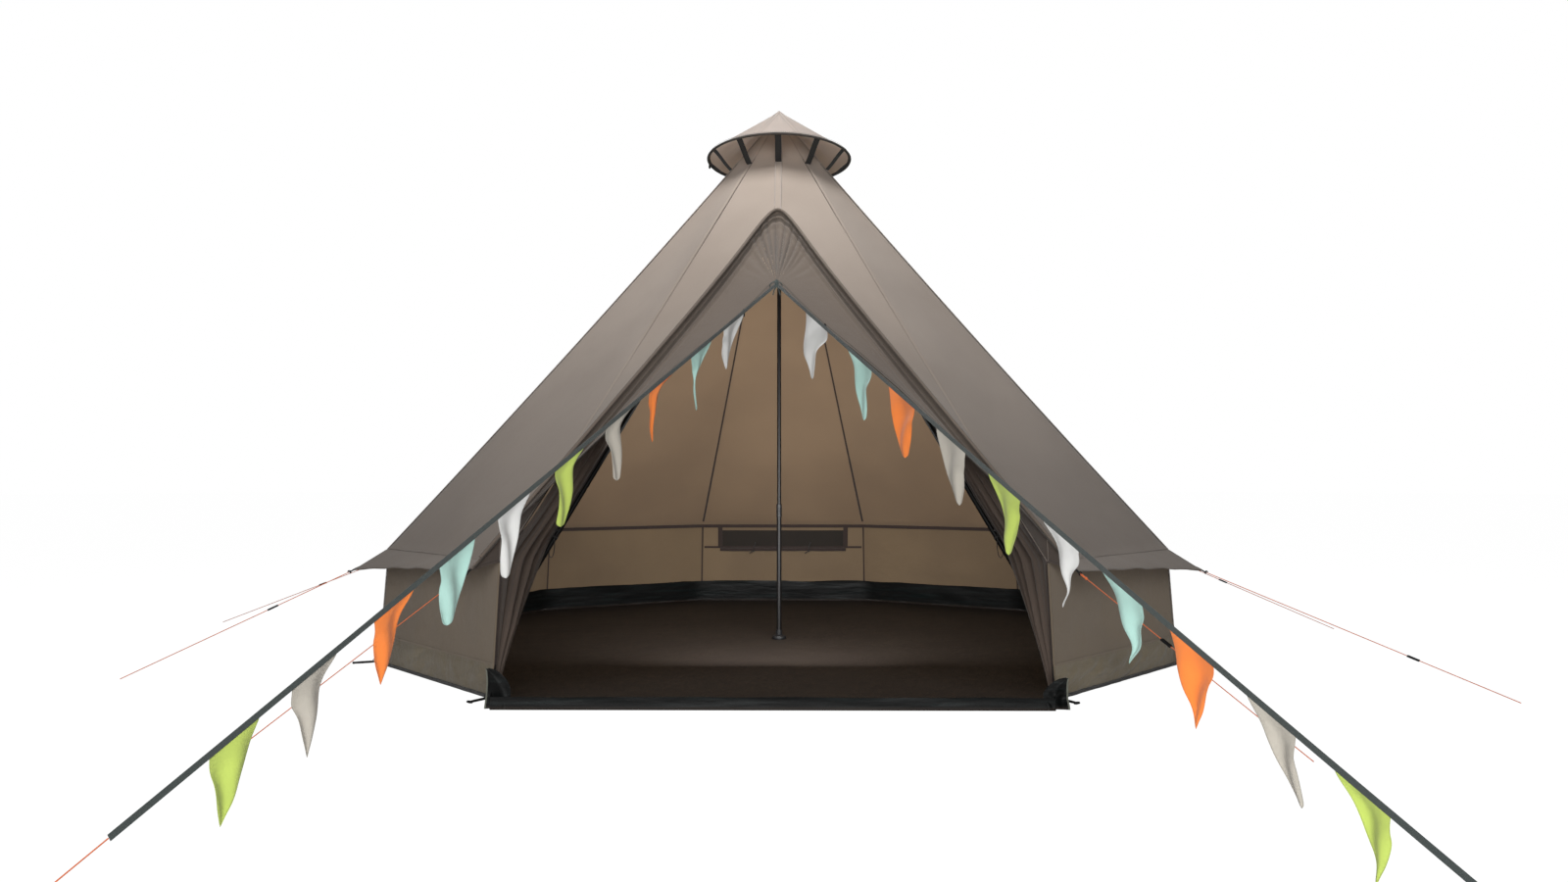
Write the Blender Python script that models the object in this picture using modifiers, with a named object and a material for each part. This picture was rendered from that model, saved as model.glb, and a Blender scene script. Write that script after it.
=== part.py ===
"""Pyramid tent: an eleven-sided cloth cone on low walls, with an open hooded door.

Units are metres, +Z is up and the door faces -Y. The origin is on the ground under the
centre pole. Places round the tent are given as a turn, counted in wall panels from the
middle of the back panel: corners lie at half turns, positive turns on the +X side.
"""

import math

import bmesh
import bpy
from mathutils import Matrix, Vector

UP = Vector((0, 0, 1))
SIDES = 11
PANEL_ANGLE = 2 * math.pi / SIDES

# Running clearance between touching pieces, and the reach over which points are welded
GAP = 0.0003
WELD = 0.00001

# Roof cone, sizes at the corners of the outline
CROWN_RADIUS = 0.050
CROWN_HEIGHT = 2.585
WALL_TOP_RADIUS = 1.865
WALL_HEIGHT = 0.500
EAVE_RADIUS = 2.012
EAVE_HEIGHT = 0.408
FRONT_EAVE_HEIGHT = 0.475
ROOF_THICKNESS = 0.002
RIDGE_DIP = 0.020
GORE_DIP = 0.014
EAVE_SCALLOP = 0.022
NORMAL_STEP_SHARE = 0.01

# Walls and groundsheet
WALL_FLARE = 0.035
WALL_FOOT_RADIUS = WALL_TOP_RADIUS + WALL_FLARE
WALL_THICKNESS = 0.002
SHEET_THICKNESS = 0.002
TUB_HEIGHT = 0.100
TUB_WALL = 0.0015
SILL_HEIGHT = 0.045
SILL_REACH = 1.790
SILL_HALF_WIDTH = 0.955

# Window in the back wall
WINDOW_WIDTH = 0.820
WINDOW_SILL = 0.350
WINDOW_HEIGHT = 0.110
MESH_THICKNESS = 0.001
WINDOW_ROLL_RADIUS = 0.014
# Places along the rolled flap, with the share of the roll's radius at each
WINDOW_ROLL_SHARES = (
    (0, 0.8),
    (0.012, 1),
    (0.25, 0.96),
    (0.5, 1),
    (0.75, 0.96),
    (0.988, 1),
    (1, 0.8),
)

# Hood over the door
HOOD_APEX_RADIUS = 0.505
HOOD_THICKNESS = 0.002
HOOD_DEPTH = 0.400
HOOD_HEM = 0.006
# Places along the ridge of the hood, with the share of its depth that hangs below
HOOD_EDGE_SHARES = (
    (0.00, 1.00),
    (0.06, 1.062),
    (0.12, 1.01),
    (0.31, 0.663),
    (0.46, 0.43),
    (0.605, 0.28),
    (0.76, 0.138),
    (0.87, 0.06),
    (1.00, 0.03),
)
HOOD_ROUND_SHARE = 0.11
HOOD_WALL_SHARE = 0.92
HOOD_TIP_SHARE = 0.985
PLEAT_DEPTH = 0.012
PLEATS = 9
PLEAT_REACH = 0.420
HOOD_COLUMNS = 40
HOOD_ROWS = 5

# Centre pole
LOWER_TUBE_RADIUS = 0.0120
LOWER_TUBE_BORE = 0.0104
UPPER_TUBE_RADIUS = 0.0100
UPPER_TUBE_BORE = 0.0085
TUBE_OVERLAP = 0.420
COLLAR_RADIUS = 0.0135
COLLAR_HEIGHT = 0.640
COLLAR_LENGTH = 0.062
FOOT_RADIUS = 0.035
FOOT_TOP_SHARE = 0.9
FOOT_HEIGHT = 0.014
FOOT_SOCKET_RADIUS = 0.0165
FOOT_SOCKET_HEIGHT = 0.030
SPIKE_RADIUS = 0.0040
SPIKE_SHOULDER = 0.0120
SPIKE_STEM = 0.040

# Door frame of two legs and a bent elbow
LEG_RADIUS = 0.0095
LEG_BORE = 0.0080
LEG_TURN_SHARE = 4.21
LEG_INSET = 0.047
FRAME_CLEARANCE = 0.035
ELBOW_OVER = 0.260
ELBOW_STEM = 0.060
SPIGOT_LENGTH = 0.080
ELBOW_STEPS = 12

# Vent hat over the crown
HAT_RISE = 0.083
HAT_TOP = CROWN_HEIGHT + HAT_RISE
HAT_RADIUS = 0.357
HAT_DROP = 0.255
HAT_THICKNESS = 0.002
HAT_SKIRT = 0.009
HAT_TILT = math.radians(3.5)
HOOP_RADIUS = 0.0035
STRAP_WIDTH = 0.018
STRAP_THICKNESS = 0.002
STRAP_FOOT_RADIUS = 0.268
STRAP_STANDOFF = 0.0016
CROWN_PLATE_RADIUS = 0.056
CROWN_PLATE_THICKNESS = 0.004
PULL_CORD_RADIUS = 0.0015
PULL_BEAD_RADIUS = 0.0055
PULL_CORD_LENGTH = 0.014
PULL_BEAD_LENGTH = 0.024
PULL_BEAD_SHARES = (0.3, 0.8)

# Door cloth, gathered and tied back against the frame
FLAP_THICKNESS = 0.002
FLAP_TOP = 1.250
FLAP_TIE_HEIGHT = 0.560
FLAP_FOOT_INSET = 0.060
FLAP_FOOT_WIDTH = 0.050
FLAP_LEG_CLEARANCE = 0.016
FLAP_FOLD_DEPTH = 0.014
FLAP_FOLDS = 5
FLAP_DRAW_POWER = 1.25
FLAP_OUT_SHARE = 0.6
FLAP_FORWARD_SHARE = 0.8
FLAP_CALM_SHARE = 0.25
FLAP_LEAN_SHARE = 1 / 6
FLAP_COLUMNS = 20
FLAP_ROWS = 10

# Bunting: a tape on each door guy, with ten pennants
SIGNS = {"left": -1, "right": 1}
DOOR_PEG_X = {"left": 1.320, "right": 1.345}
DOOR_PEG_REACH = {"left": 3.910, "right": 4.050}
LINE_SAG = {"left": 0.004, "right": 0.015}
LINE_SPREAD = 0.004
TAPE_WIDTH = 0.015
TAPE_THICKNESS = 0.001
TAPE_END_SHARES = {"left": 0.921, "right": 0.960}
TAPE_COLUMNS = 20
TAIL_COLUMNS = 3
PENNANT_WIDTH = 0.168
PENNANT_TIP = 0.014
PENNANT_LENGTH = 0.240
PENNANT_THICKNESS = 0.001
PENNANT_FOLD = 0.016
PENNANT_SWAY = 0.030
PENNANT_SLANT_SHARE = 0.5
PENNANT_FOLD_SHARE = 0.25
PENNANT_TWIST = 4
PENNANT_COLUMNS = 4
PENNANT_ROWS = 6

# Guys from the eaves, with a runner on each
ROPE_RADIUS = 0.0015
RUNNER_LENGTH = 0.045
RUNNER_WIDTH = 0.014
RUNNER_THICKNESS = 0.007
RUNNER_BORE = 0.0021
RUNNER_EDGE = 0.0015
GUY_COLUMNS = 4

# Guy name, corner turn, peg radius, swing of the peg towards the door, runner place
GUYS = (
    ("front_left", -4.5, 2.905, 0.0, 0.42),
    ("front_right", 4.5, 2.958, 1.0, 0.43),
    ("side_left", -3.5, 2.884, 0.0, 0.36),
    ("side_right", 3.5, 3.144, 7.0, 0.70),
    ("rear_left", -2.5, 3.170, -3.3, 0.43),
    ("rear_right", 2.5, 2.974, 0.5, 0.36),
)

PENNANT_COLOURS = ("white", "aqua", "orange", "sand", "lime")
# Each pennant from the door outwards: the share of the line to its middle, then its
# shares of full width, length, fold and sway
PENNANT_SHARES = {
    "left": (
        (0.123, 1.20, 0.82, 0.9, -0.5),
        (0.206, 1.10, 0.99, 1.0, 0.6),
        (0.297, 1.10, 0.89, 1.0, -0.4),
        (0.381, 1.04, 0.87, 0.9, 0.7),
        (0.467, 1.04, 0.87, 0.6, -0.3),
        (0.550, 1.00, 0.86, 0.8, 0.5),
        (0.624, 0.95, 0.79, 0.3, 0.2),
        (0.695, 0.92, 0.80, 0.2, -0.2),
        (0.771, 0.88, 0.79, 0.5, 0.6),
        (0.836, 0.84, 0.76, 0.2, 0.1),
    ),
    "right": (
        (0.121, 1.40, 0.95, 0.4, 0.3),
        (0.235, 1.30, 0.93, 0.7, 0.6),
        (0.329, 1.24, 0.87, 0.5, -0.3),
        (0.424, 1.18, 0.85, 0.9, 0.7),
        (0.511, 1.10, 0.82, 0.6, 0.4),
        (0.590, 1.04, 0.80, 0.9, 0.9),
        (0.663, 1.00, 0.76, 0.6, 0.5),
        (0.733, 0.94, 0.75, 0.5, -0.2),
        (0.801, 0.88, 0.73, 0.5, 0.6),
        (0.866, 0.84, 0.67, 0.6, 0.4),
    ),
}

# Rows of the roof below the hood's apex, as shares of the way to the wall
ROOF_ROW_SHARES = (0.05, 0.11, 0.18, 0.27, 0.38, 0.55, 0.77, 1)
EAVE_ROWS = 2
ROUND_STEPS = 20
FINE_STEPS = 24
SLIM_STEPS = 16
BEAD_STEPS = 10
HAT_STEPS = 44
SHARP_ANGLE = math.radians(35)

FINISHES = {
    "roof_cloth": ((140, 125, 112), 0.75, 0.0),
    "hood_cloth": ((104, 92, 82), 0.75, 0.0),
    "wall_cloth": ((98, 85, 72), 0.78, 0.0),
    "inner_cloth": ((128, 106, 84), 0.80, 0.0),
    "groundsheet": ((40, 34, 31), 0.55, 0.0),
    "mesh": ((70, 62, 56), 0.85, 0.0),
    "pole": ((26, 26, 27), 0.35, 0.8),
    "black_plastic": ((24, 24, 25), 0.45, 0.0),
    "hat_cloth": ((150, 138, 126), 0.72, 0.0),
    "webbing": ((58, 66, 64), 0.85, 0.0),
    "rope": ((220, 110, 60), 0.70, 0.0),
    "white": ((225, 225, 222), 0.75, 0.0),
    "aqua": ((178, 218, 208), 0.75, 0.0),
    "orange": ((250, 135, 55), 0.75, 0.0),
    "sand": ((185, 178, 165), 0.75, 0.0),
    "lime": ((185, 205, 95), 0.75, 0.0),
}


def clear_scene():
    """Remove what a new file holds."""
    for thing in list(bpy.data.objects):
        bpy.data.objects.remove(thing)


def new_collection(name):
    """Make a collection in the scene."""
    made = bpy.data.collections.new(name)
    bpy.context.scene.collection.children.link(made)
    return made


def linear(channel):
    """One display channel, 0 to 255, as a linear value."""
    value = channel / 255
    if value <= 0.04045:
        return value / 12.92
    return ((value + 0.055) / 1.055) ** 2.4


def finish(name):
    """The material of a finish, made on first use."""
    if name in bpy.data.materials:
        return bpy.data.materials[name]
    colour, roughness, metallic = FINISHES[name]
    material = bpy.data.materials.new(name)
    material.use_nodes = True
    shader = material.node_tree.nodes["Principled BSDF"]
    shader.inputs["Base Color"].default_value = [linear(c) for c in colour] + [1]
    shader.inputs["Roughness"].default_value = roughness
    shader.inputs["Metallic"].default_value = metallic
    return material


def add_object(name, data, finish_name, collection):
    """Put new data in the scene as one sub-part."""
    made = bpy.data.objects.new(name, data)
    made.data.materials.append(finish(finish_name))
    collection.objects.link(made)
    return made


def add_mesh(name, bm, finish_name, collection):
    """Turn a bmesh into a sub-part, shaded smooth up to the sharp angle."""
    mesh = bpy.data.meshes.new(name)
    bm.to_mesh(mesh)
    bm.free()
    mesh.shade_smooth()
    mesh.set_sharp_from_angle(angle=SHARP_ANGLE)
    return add_object(name, mesh, finish_name, collection)


def face_outwards(bm):
    """Point a closed mesh's faces outwards."""
    bmesh.ops.recalc_face_normals(bm, faces=bm.faces)
    if bm.calc_volume(signed=True) < 0:
        bmesh.ops.reverse_faces(bm, faces=bm.faces)


def sheet(name, finish_name, collection, across, down, place):
    """A closed sheet of cloth: place(u, v, side) gives its points, side 0 out and 1 in."""
    bm = bmesh.new()
    bmesh.ops.create_grid(bm, x_segments=across, y_segments=down, size=0.5)
    grown = bmesh.ops.extrude_face_region(bm, geom=bm.faces[:])
    for item in grown["geom"]:
        if isinstance(item, bmesh.types.BMVert):
            item.co += UP
    for vert in bm.verts:
        vert.co = place(vert.co.x + 0.5, vert.co.y + 0.5, vert.co.z)
    face_outwards(bm)
    return add_mesh(name, bm, finish_name, collection)


def stacked(name, finish_name, collection, rings):
    """A closed solid through rings of as many points, capped at both ends."""
    bm = bmesh.new()
    bmesh.ops.create_circle(bm, cap_ends=True, segments=len(rings[0]), radius=1)
    bm.verts.ensure_lookup_table()
    verts = list(bm.verts)
    for vert, point in zip(verts, rings[0]):
        vert.co = point
    cap = bm.faces[:][0]
    for ring in rings[1:]:
        places = {tuple(vert.co): k for k, vert in enumerate(verts)}
        grown = bmesh.ops.extrude_face_region(bm, geom=[cap])["geom"]
        if ring is not rings[1]:
            bmesh.ops.delete(bm, geom=[cap], context="FACES_ONLY")
        cap = [item for item in grown if isinstance(item, bmesh.types.BMFace)][0]
        fresh = sorted(cap.verts, key=lambda vert: places[tuple(vert.co)])
        for vert, point in zip(fresh, ring):
            vert.co = point
        verts = fresh
    face_outwards(bm)
    return add_mesh(name, bm, finish_name, collection)


def turned(name, finish_name, collection, profile, steps=ROUND_STEPS, ring=False):
    """A turned piece about Z: the profile of (radius, height) runs down its outer side."""
    bm = bmesh.new()
    verts = [bm.verts.new((radius, 0, height)) for radius, height in profile]
    for above, below in zip(verts, verts[1:]):
        bm.edges.new((above, below))
    if ring:
        bm.edges.new((verts[-1], verts[0]))
    made = add_mesh(name, bm, finish_name, collection)
    screw = made.modifiers.new("turn", "SCREW")
    screw.axis = "Z"
    screw.angle = 2 * math.pi
    screw.steps = steps
    screw.render_steps = steps
    screw.use_merge_vertices = True
    screw.merge_threshold = WELD
    screw.use_smooth_shade = True
    return made


def tube(name, finish_name, collection, points, radius, shares=None, sides=2):
    """A closed round tube through points, each with its share of the radius."""
    curve = bpy.data.curves.new(name, "CURVE")
    curve.dimensions = "3D"
    curve.bevel_depth = radius
    curve.bevel_resolution = sides
    curve.use_fill_caps = True
    spline = curve.splines.new("POLY")
    spline.points.add(len(points) - 1)
    for k, point in enumerate(points):
        spline.points[k].co = (*point, 1)
        spline.points[k].radius = shares[k] if shares else 1
    return add_object(name, curve, finish_name, collection)


def as_mesh(made):
    """Swap a curve object for a welded mesh object of the same name."""
    name = made.name
    graph = bpy.context.evaluated_depsgraph_get()
    graph.update()
    mesh = bpy.data.meshes.new_from_object(made.evaluated_get(graph))
    bm = bmesh.new()
    bm.from_mesh(mesh)
    bmesh.ops.remove_doubles(bm, verts=bm.verts, dist=WELD)
    bm.to_mesh(mesh)
    bm.free()
    swapped = bpy.data.objects.new(name, mesh)
    made.users_collection[0].objects.link(swapped)
    swapped.matrix_world = made.matrix_world
    bpy.data.objects.remove(made)
    swapped.name = name
    return swapped


def block(bm, matrix, size):
    """Add a box of a size to a bmesh, at a place."""
    bmesh.ops.create_cube(bm, size=1, matrix=matrix @ Matrix.Diagonal((*size, 1)))


def as_tool(made):
    """Mark an object as a cutter, which isn't part of the tent."""
    made.hide_render = True
    made.display_type = "WIRE"
    return made


def combine(target, tool, operation):
    """Cut or join a target with a tool."""
    modifier = target.modifiers.new(operation.lower(), "BOOLEAN")
    modifier.operation = operation
    modifier.solver = "EXACT"
    modifier.object = tool


def aim(made, start, direction):
    """Place an object with its own Z along a direction."""
    turn = direction.to_track_quat("Z", "Y").to_matrix().to_4x4()
    made.matrix_world = Matrix.Translation(start) @ turn


def mix(a, b, share):
    """The value or point at a share of the way from a to b."""
    return a * (1 - share) + b * share


def read_shares(table, at):
    """Straight interpolation in a table of shares."""
    for (low, a), (high, b) in zip(table, table[1:]):
        if at <= high:
            return mix(a, b, (at - low) / (high - low))
    return table[-1][1]


def plan(turn, radius):
    """The outline's point at a turn, for the radius of its corners."""
    low = math.floor(turn - 0.5) + 0.5
    share = turn - low
    before = Vector((math.sin(low * PANEL_ANGLE), math.cos(low * PANEL_ANGLE), 0))
    after = Vector((math.sin((low + 1) * PANEL_ANGLE), math.cos((low + 1) * PANEL_ANGLE), 0))
    return mix(before, after, share) * radius


def between_corners(turn):
    """How far a turn is from the corners: 0 on a ridge, 1 in the middle of a panel."""
    return math.sin(math.pi * ((turn - 0.5) % 1))


def seam_shift(turn, limits):
    """Half a gap, drawn in along the outline at the two ends of a piece."""
    along = Vector((math.cos(turn * PANEL_ANGLE), -math.sin(turn * PANEL_ANGLE), 0))
    if turn <= limits[0]:
        return along * (GAP / 2)
    if turn >= limits[1]:
        return along * (-GAP / 2)
    return along * 0


def ridge_height(radius):
    """Height of the roof's outer face on a ridge, from crown to wall."""
    share = (radius - CROWN_RADIUS) / (WALL_TOP_RADIUS - CROWN_RADIUS)
    dip = RIDGE_DIP * 4 * share * (1 - share)
    return mix(CROWN_HEIGHT, WALL_HEIGHT, share) - dip


def ridge_normal():
    """Radial and upward parts of the roof's outward normal on a ridge."""
    run = WALL_TOP_RADIUS - CROWN_RADIUS
    rise = CROWN_HEIGHT - WALL_HEIGHT
    length = math.hypot(run, rise)
    return rise / length, run / length


def eave_height(turn):
    """Height of the eave's lip, higher at the two front corners."""
    low = math.floor(turn - 0.5) + 0.5
    ends = [FRONT_EAVE_HEIGHT if abs(low + k) > 4 else EAVE_HEIGHT for k in (0, 1)]
    return mix(ends[0], ends[1], turn - low)


def roof_face(turn, run):
    """Point of the roof's outer face: run goes 0 to 1 from crown to wall, then to 2 at the lip."""
    if abs(turn) > 4.5:
        return front_face(math.copysign(1, turn), abs(turn) - 4.5, run)
    middle = between_corners(turn)
    if run <= 1:
        radius = mix(CROWN_RADIUS, WALL_TOP_RADIUS, run)
        height = ridge_height(radius) - GORE_DIP * middle * math.sin(math.pi * run)
    else:
        share = run - 1
        lip = EAVE_RADIUS - EAVE_SCALLOP * middle
        radius = mix(WALL_TOP_RADIUS, lip, share)
        reach = (lip - WALL_TOP_RADIUS) / (EAVE_RADIUS - WALL_TOP_RADIUS)
        height = mix(WALL_HEIGHT, eave_height(turn), share * reach)
    point = plan(turn, radius)
    point.z = height
    return point


def front_face(side, share, run):
    """Front gore, drawn from its corner ridge at share 0 to the door's edge at share 1."""
    corner = roof_face(4.5, run)
    apex_run = hood_run()
    if run <= apex_run:
        radius = mix(CROWN_RADIUS, WALL_TOP_RADIUS, run)
        edge = Vector((0, -radius, ridge_height(radius)))
    elif run <= 1:
        edge = hood_point(HOOD_WALL_SHARE * (run - apex_run) / (1 - apex_run), 0)
    else:
        edge = hood_point(mix(HOOD_WALL_SHARE, HOOD_TIP_SHARE, run - 1), 0)
    point = mix(corner, edge, share)
    return Vector((side * point.x, point.y, point.z))


def radial_normal(turn):
    """The roof's outward normal in the upright plane of a turn."""
    inward, lower = ridge_normal()
    return plan(turn, 1).normalized() * inward + UP * lower


def front_normal(side, share, run):
    """Outward normal of a front gore."""
    low = max(run - NORMAL_STEP_SHARE, hood_run() / 2)
    high = min(run + NORMAL_STEP_SHARE, 2)
    down = front_face(side, share, high) - front_face(side, share, low)
    over = front_face(side, 1, run) - front_face(side, 0, run)
    return (over.cross(down) * side).normalized()


def roof_normal(turn, run):
    """Direction of the roof's thickness at a point."""
    side = math.copysign(1, turn)
    share = abs(turn) - 4.5
    if share < 0 or (share == 1 and run <= hood_run()):
        return radial_normal(turn)
    front = front_normal(side, share, min(max(run, hood_run() / 2), 1))
    if share == 0:
        return (front + radial_normal(turn)).normalized()
    if share == 1:
        return (front + hood_normal()).normalized()
    return front


def roof_point(turn, run, depth, limits):
    """Roof point at a depth behind the outer face."""
    return roof_face(turn, run) - roof_normal(turn, run) * depth + seam_shift(turn, limits)


def build_roof(name, start, end, parts):
    """One part of the roof, between two ridges."""
    apex = hood_run()
    lower = [mix(apex, 1, share) for share in ROOF_ROW_SHARES]
    flap = [1 + (k + 1) / EAVE_ROWS for k in range(EAVE_ROWS)]
    runs = [0, apex, *lower, *flap]
    gores = round(end - start)
    limits = (start, end)

    def place(u, v, side):
        turn = mix(start, end, round(u * gores * 2) / (gores * 2))
        run = runs[round(v * (len(runs) - 1))]
        return roof_point(turn, run, side * ROOF_THICKNESS, limits)

    return sheet(name, "roof_cloth", parts, gores * 2, len(runs) - 1, place)


def hood_run():
    """Run of the hood's apex along the front ridge."""
    return (HOOD_APEX_RADIUS - CROWN_RADIUS) / (WALL_TOP_RADIUS - CROWN_RADIUS)


def hood_apex():
    """Outer point of the front ridge where the hood begins."""
    return Vector((0, -HOOD_APEX_RADIUS, ridge_height(HOOD_APEX_RADIUS)))


def front_peak(side):
    """Lip of the eave at a front corner."""
    peak = plan(4.5, EAVE_RADIUS)
    return Vector((side * peak.x, peak.y, FRONT_EAVE_HEIGHT))


def hood_slope():
    """Rise over run of the hood's plane."""
    apex = hood_apex()
    peak = front_peak(1)
    return (apex.z - peak.z) / (apex.y - peak.y)


def hood_normal():
    """Outward normal of the hood's plane."""
    return Vector((0, -hood_slope(), 1)).normalized()


def hood_point(across, fall):
    """Point in the hood's plane: across from -1 to 1, fall below its ridge, rounded at the apex."""
    apex = hood_apex()
    peak = front_peak(1)
    down = abs(across) * (1 - math.exp(-abs(across) / HOOD_ROUND_SHARE))
    height = mix(apex.z, peak.z, down) - fall
    return Vector((across * peak.x, apex.y + (height - apex.z) / hood_slope(), height))


def hood_edge(across):
    """Lower edge of the hood."""
    return hood_point(across, HOOD_DEPTH * read_shares(HOOD_EDGE_SHARES, abs(across)))


def build_hood(parts):
    """The hood's front panel, pleated towards the middle of its lower edge."""
    normal = hood_normal()
    knot = hood_edge(0)

    def place(u, v, side):
        across = (2 * u - 1) * HOOD_TIP_SHARE
        drop = HOOD_DEPTH * read_shares(HOOD_EDGE_SHARES, abs(across))
        point = hood_point(across, mix(-HOOD_HEM, drop, v))
        away = point - knot
        lean = math.atan2(away.x, away.z)
        near = max(0, 1 - away.length / PLEAT_REACH)
        pleat = PLEAT_DEPTH * 4 * near * (1 - near) * (1 + math.cos(2 * PLEATS * lean)) / 2
        return point + normal * (GAP + pleat + (1 - side) * HOOD_THICKNESS)

    return sheet("door_hood", "hood_cloth", parts, HOOD_COLUMNS, HOOD_ROWS, place)


def wall_radius(height):
    """Corner radius of the wall's outer face."""
    return mix(WALL_FOOT_RADIUS, WALL_TOP_RADIUS, height / WALL_HEIGHT)


def wall_top():
    """Height of the wall's top edge, just under the roof."""
    inward, lower = ridge_normal()
    return WALL_HEIGHT - ROOF_THICKNESS / lower - GAP / lower


def wall_point(turn, height, depth, limits):
    """Wall point, at a depth behind its outer face."""
    point = plan(turn, wall_radius(height) - depth) + seam_shift(turn, limits)
    point.z = height
    return point


def build_wall(name, start, end, parts):
    """One part of the wall, between two corners."""
    panels = round(end - start)
    limits = (start, end)

    def place(u, v, side):
        turn = mix(start, end, round(u * panels * 2) / (panels * 2))
        return wall_point(turn, v * wall_top(), side * WALL_THICKNESS, limits)

    return sheet(name, "wall_cloth", parts, panels * 2, 2, place)


def build_window(wall, parts, cutters):
    """Cut the window, set its mesh and hang its rolled flap inside."""
    bm = bmesh.new()
    middle = Vector((0, plan(0, WALL_FOOT_RADIUS).y, WINDOW_SILL + WINDOW_HEIGHT / 2))
    block(bm, Matrix.Translation(middle), (WINDOW_WIDTH, WALL_FOOT_RADIUS / 2, WINDOW_HEIGHT))
    combine(wall, as_tool(add_mesh("window_cutter", bm, "webbing", cutters)), "DIFFERENCE")

    margin = (WALL_THICKNESS - MESH_THICKNESS) / 2

    def place(u, v, side):
        height = WINDOW_SILL + mix(GAP, WINDOW_HEIGHT - GAP, v)
        point = wall_point(0, height, margin + side * MESH_THICKNESS, (-1, 1))
        point.x = mix(GAP - WINDOW_WIDTH / 2, WINDOW_WIDTH / 2 - GAP, u)
        return point

    sheet("window_mesh", "mesh", parts, 1, 1, place)

    height = WINDOW_SILL - WINDOW_ROLL_RADIUS
    face = plan(0, wall_radius(height) - WALL_THICKNESS).y
    lie = face - WINDOW_ROLL_RADIUS - GAP * 2
    ends = [Vector((side * WINDOW_WIDTH / 2, lie, height)) for side in (-1, 1)]
    points = [mix(ends[0], ends[1], at) for at, _ in WINDOW_ROLL_SHARES]
    shares = [share for _, share in WINDOW_ROLL_SHARES]
    tube("window_roll", "inner_cloth", parts, points, WINDOW_ROLL_RADIUS, shares=shares, sides=4)


def tub_ring(inset, low, tall):
    """Ring of the groundsheet: the wall's inner corners, then the door sill's two corners."""
    ring = []
    for k in range(SIDES - 1):
        turn = k - 4.5
        height = TUB_HEIGHT if tall else low
        radius = wall_radius(height) - WALL_THICKNESS - 2 * GAP - inset
        point = plan(turn, radius)
        point.z = height
        ring.append(point)
    lip = SILL_HEIGHT if tall else low
    for side in (1, -1):
        ring.append(Vector((side * (SILL_HALF_WIDTH - inset), inset - SILL_REACH, lip)))
    return ring


def build_groundsheet(parts):
    """The floor with its raised tub edge and the lower sill at the door."""
    rings = [
        tub_ring(0, 0, False),
        tub_ring(0, TUB_HEIGHT, True),
        tub_ring(TUB_WALL, TUB_HEIGHT, True),
        tub_ring(TUB_WALL, SHEET_THICKNESS, False),
    ]
    return stacked("groundsheet", "groundsheet", parts, rings)


def hat_tilted(point):
    """A point of the hat, tipped back about its top."""
    top = Vector((0, 0, HAT_TOP))
    return Matrix.Rotation(-HAT_TILT, 3, "X") @ (point - top) + top


def build_crown(parts):
    """Round plate that gathers the top of the roof and guides the pole's spike."""
    base = CROWN_HEIGHT + GAP
    hole = SPIKE_RADIUS + GAP * 2
    top = base + CROWN_PLATE_THICKNESS
    profile = ((hole, top), (CROWN_PLATE_RADIUS, top), (CROWN_PLATE_RADIUS, base), (hole, base))
    turned("crown_plate", "black_plastic", parts, profile, ring=True)


def hat_under(radius):
    """Height of the hat's underside before it is tipped."""
    return HAT_TOP - HAT_THICKNESS - HAT_DROP * radius / HAT_RADIUS


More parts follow.
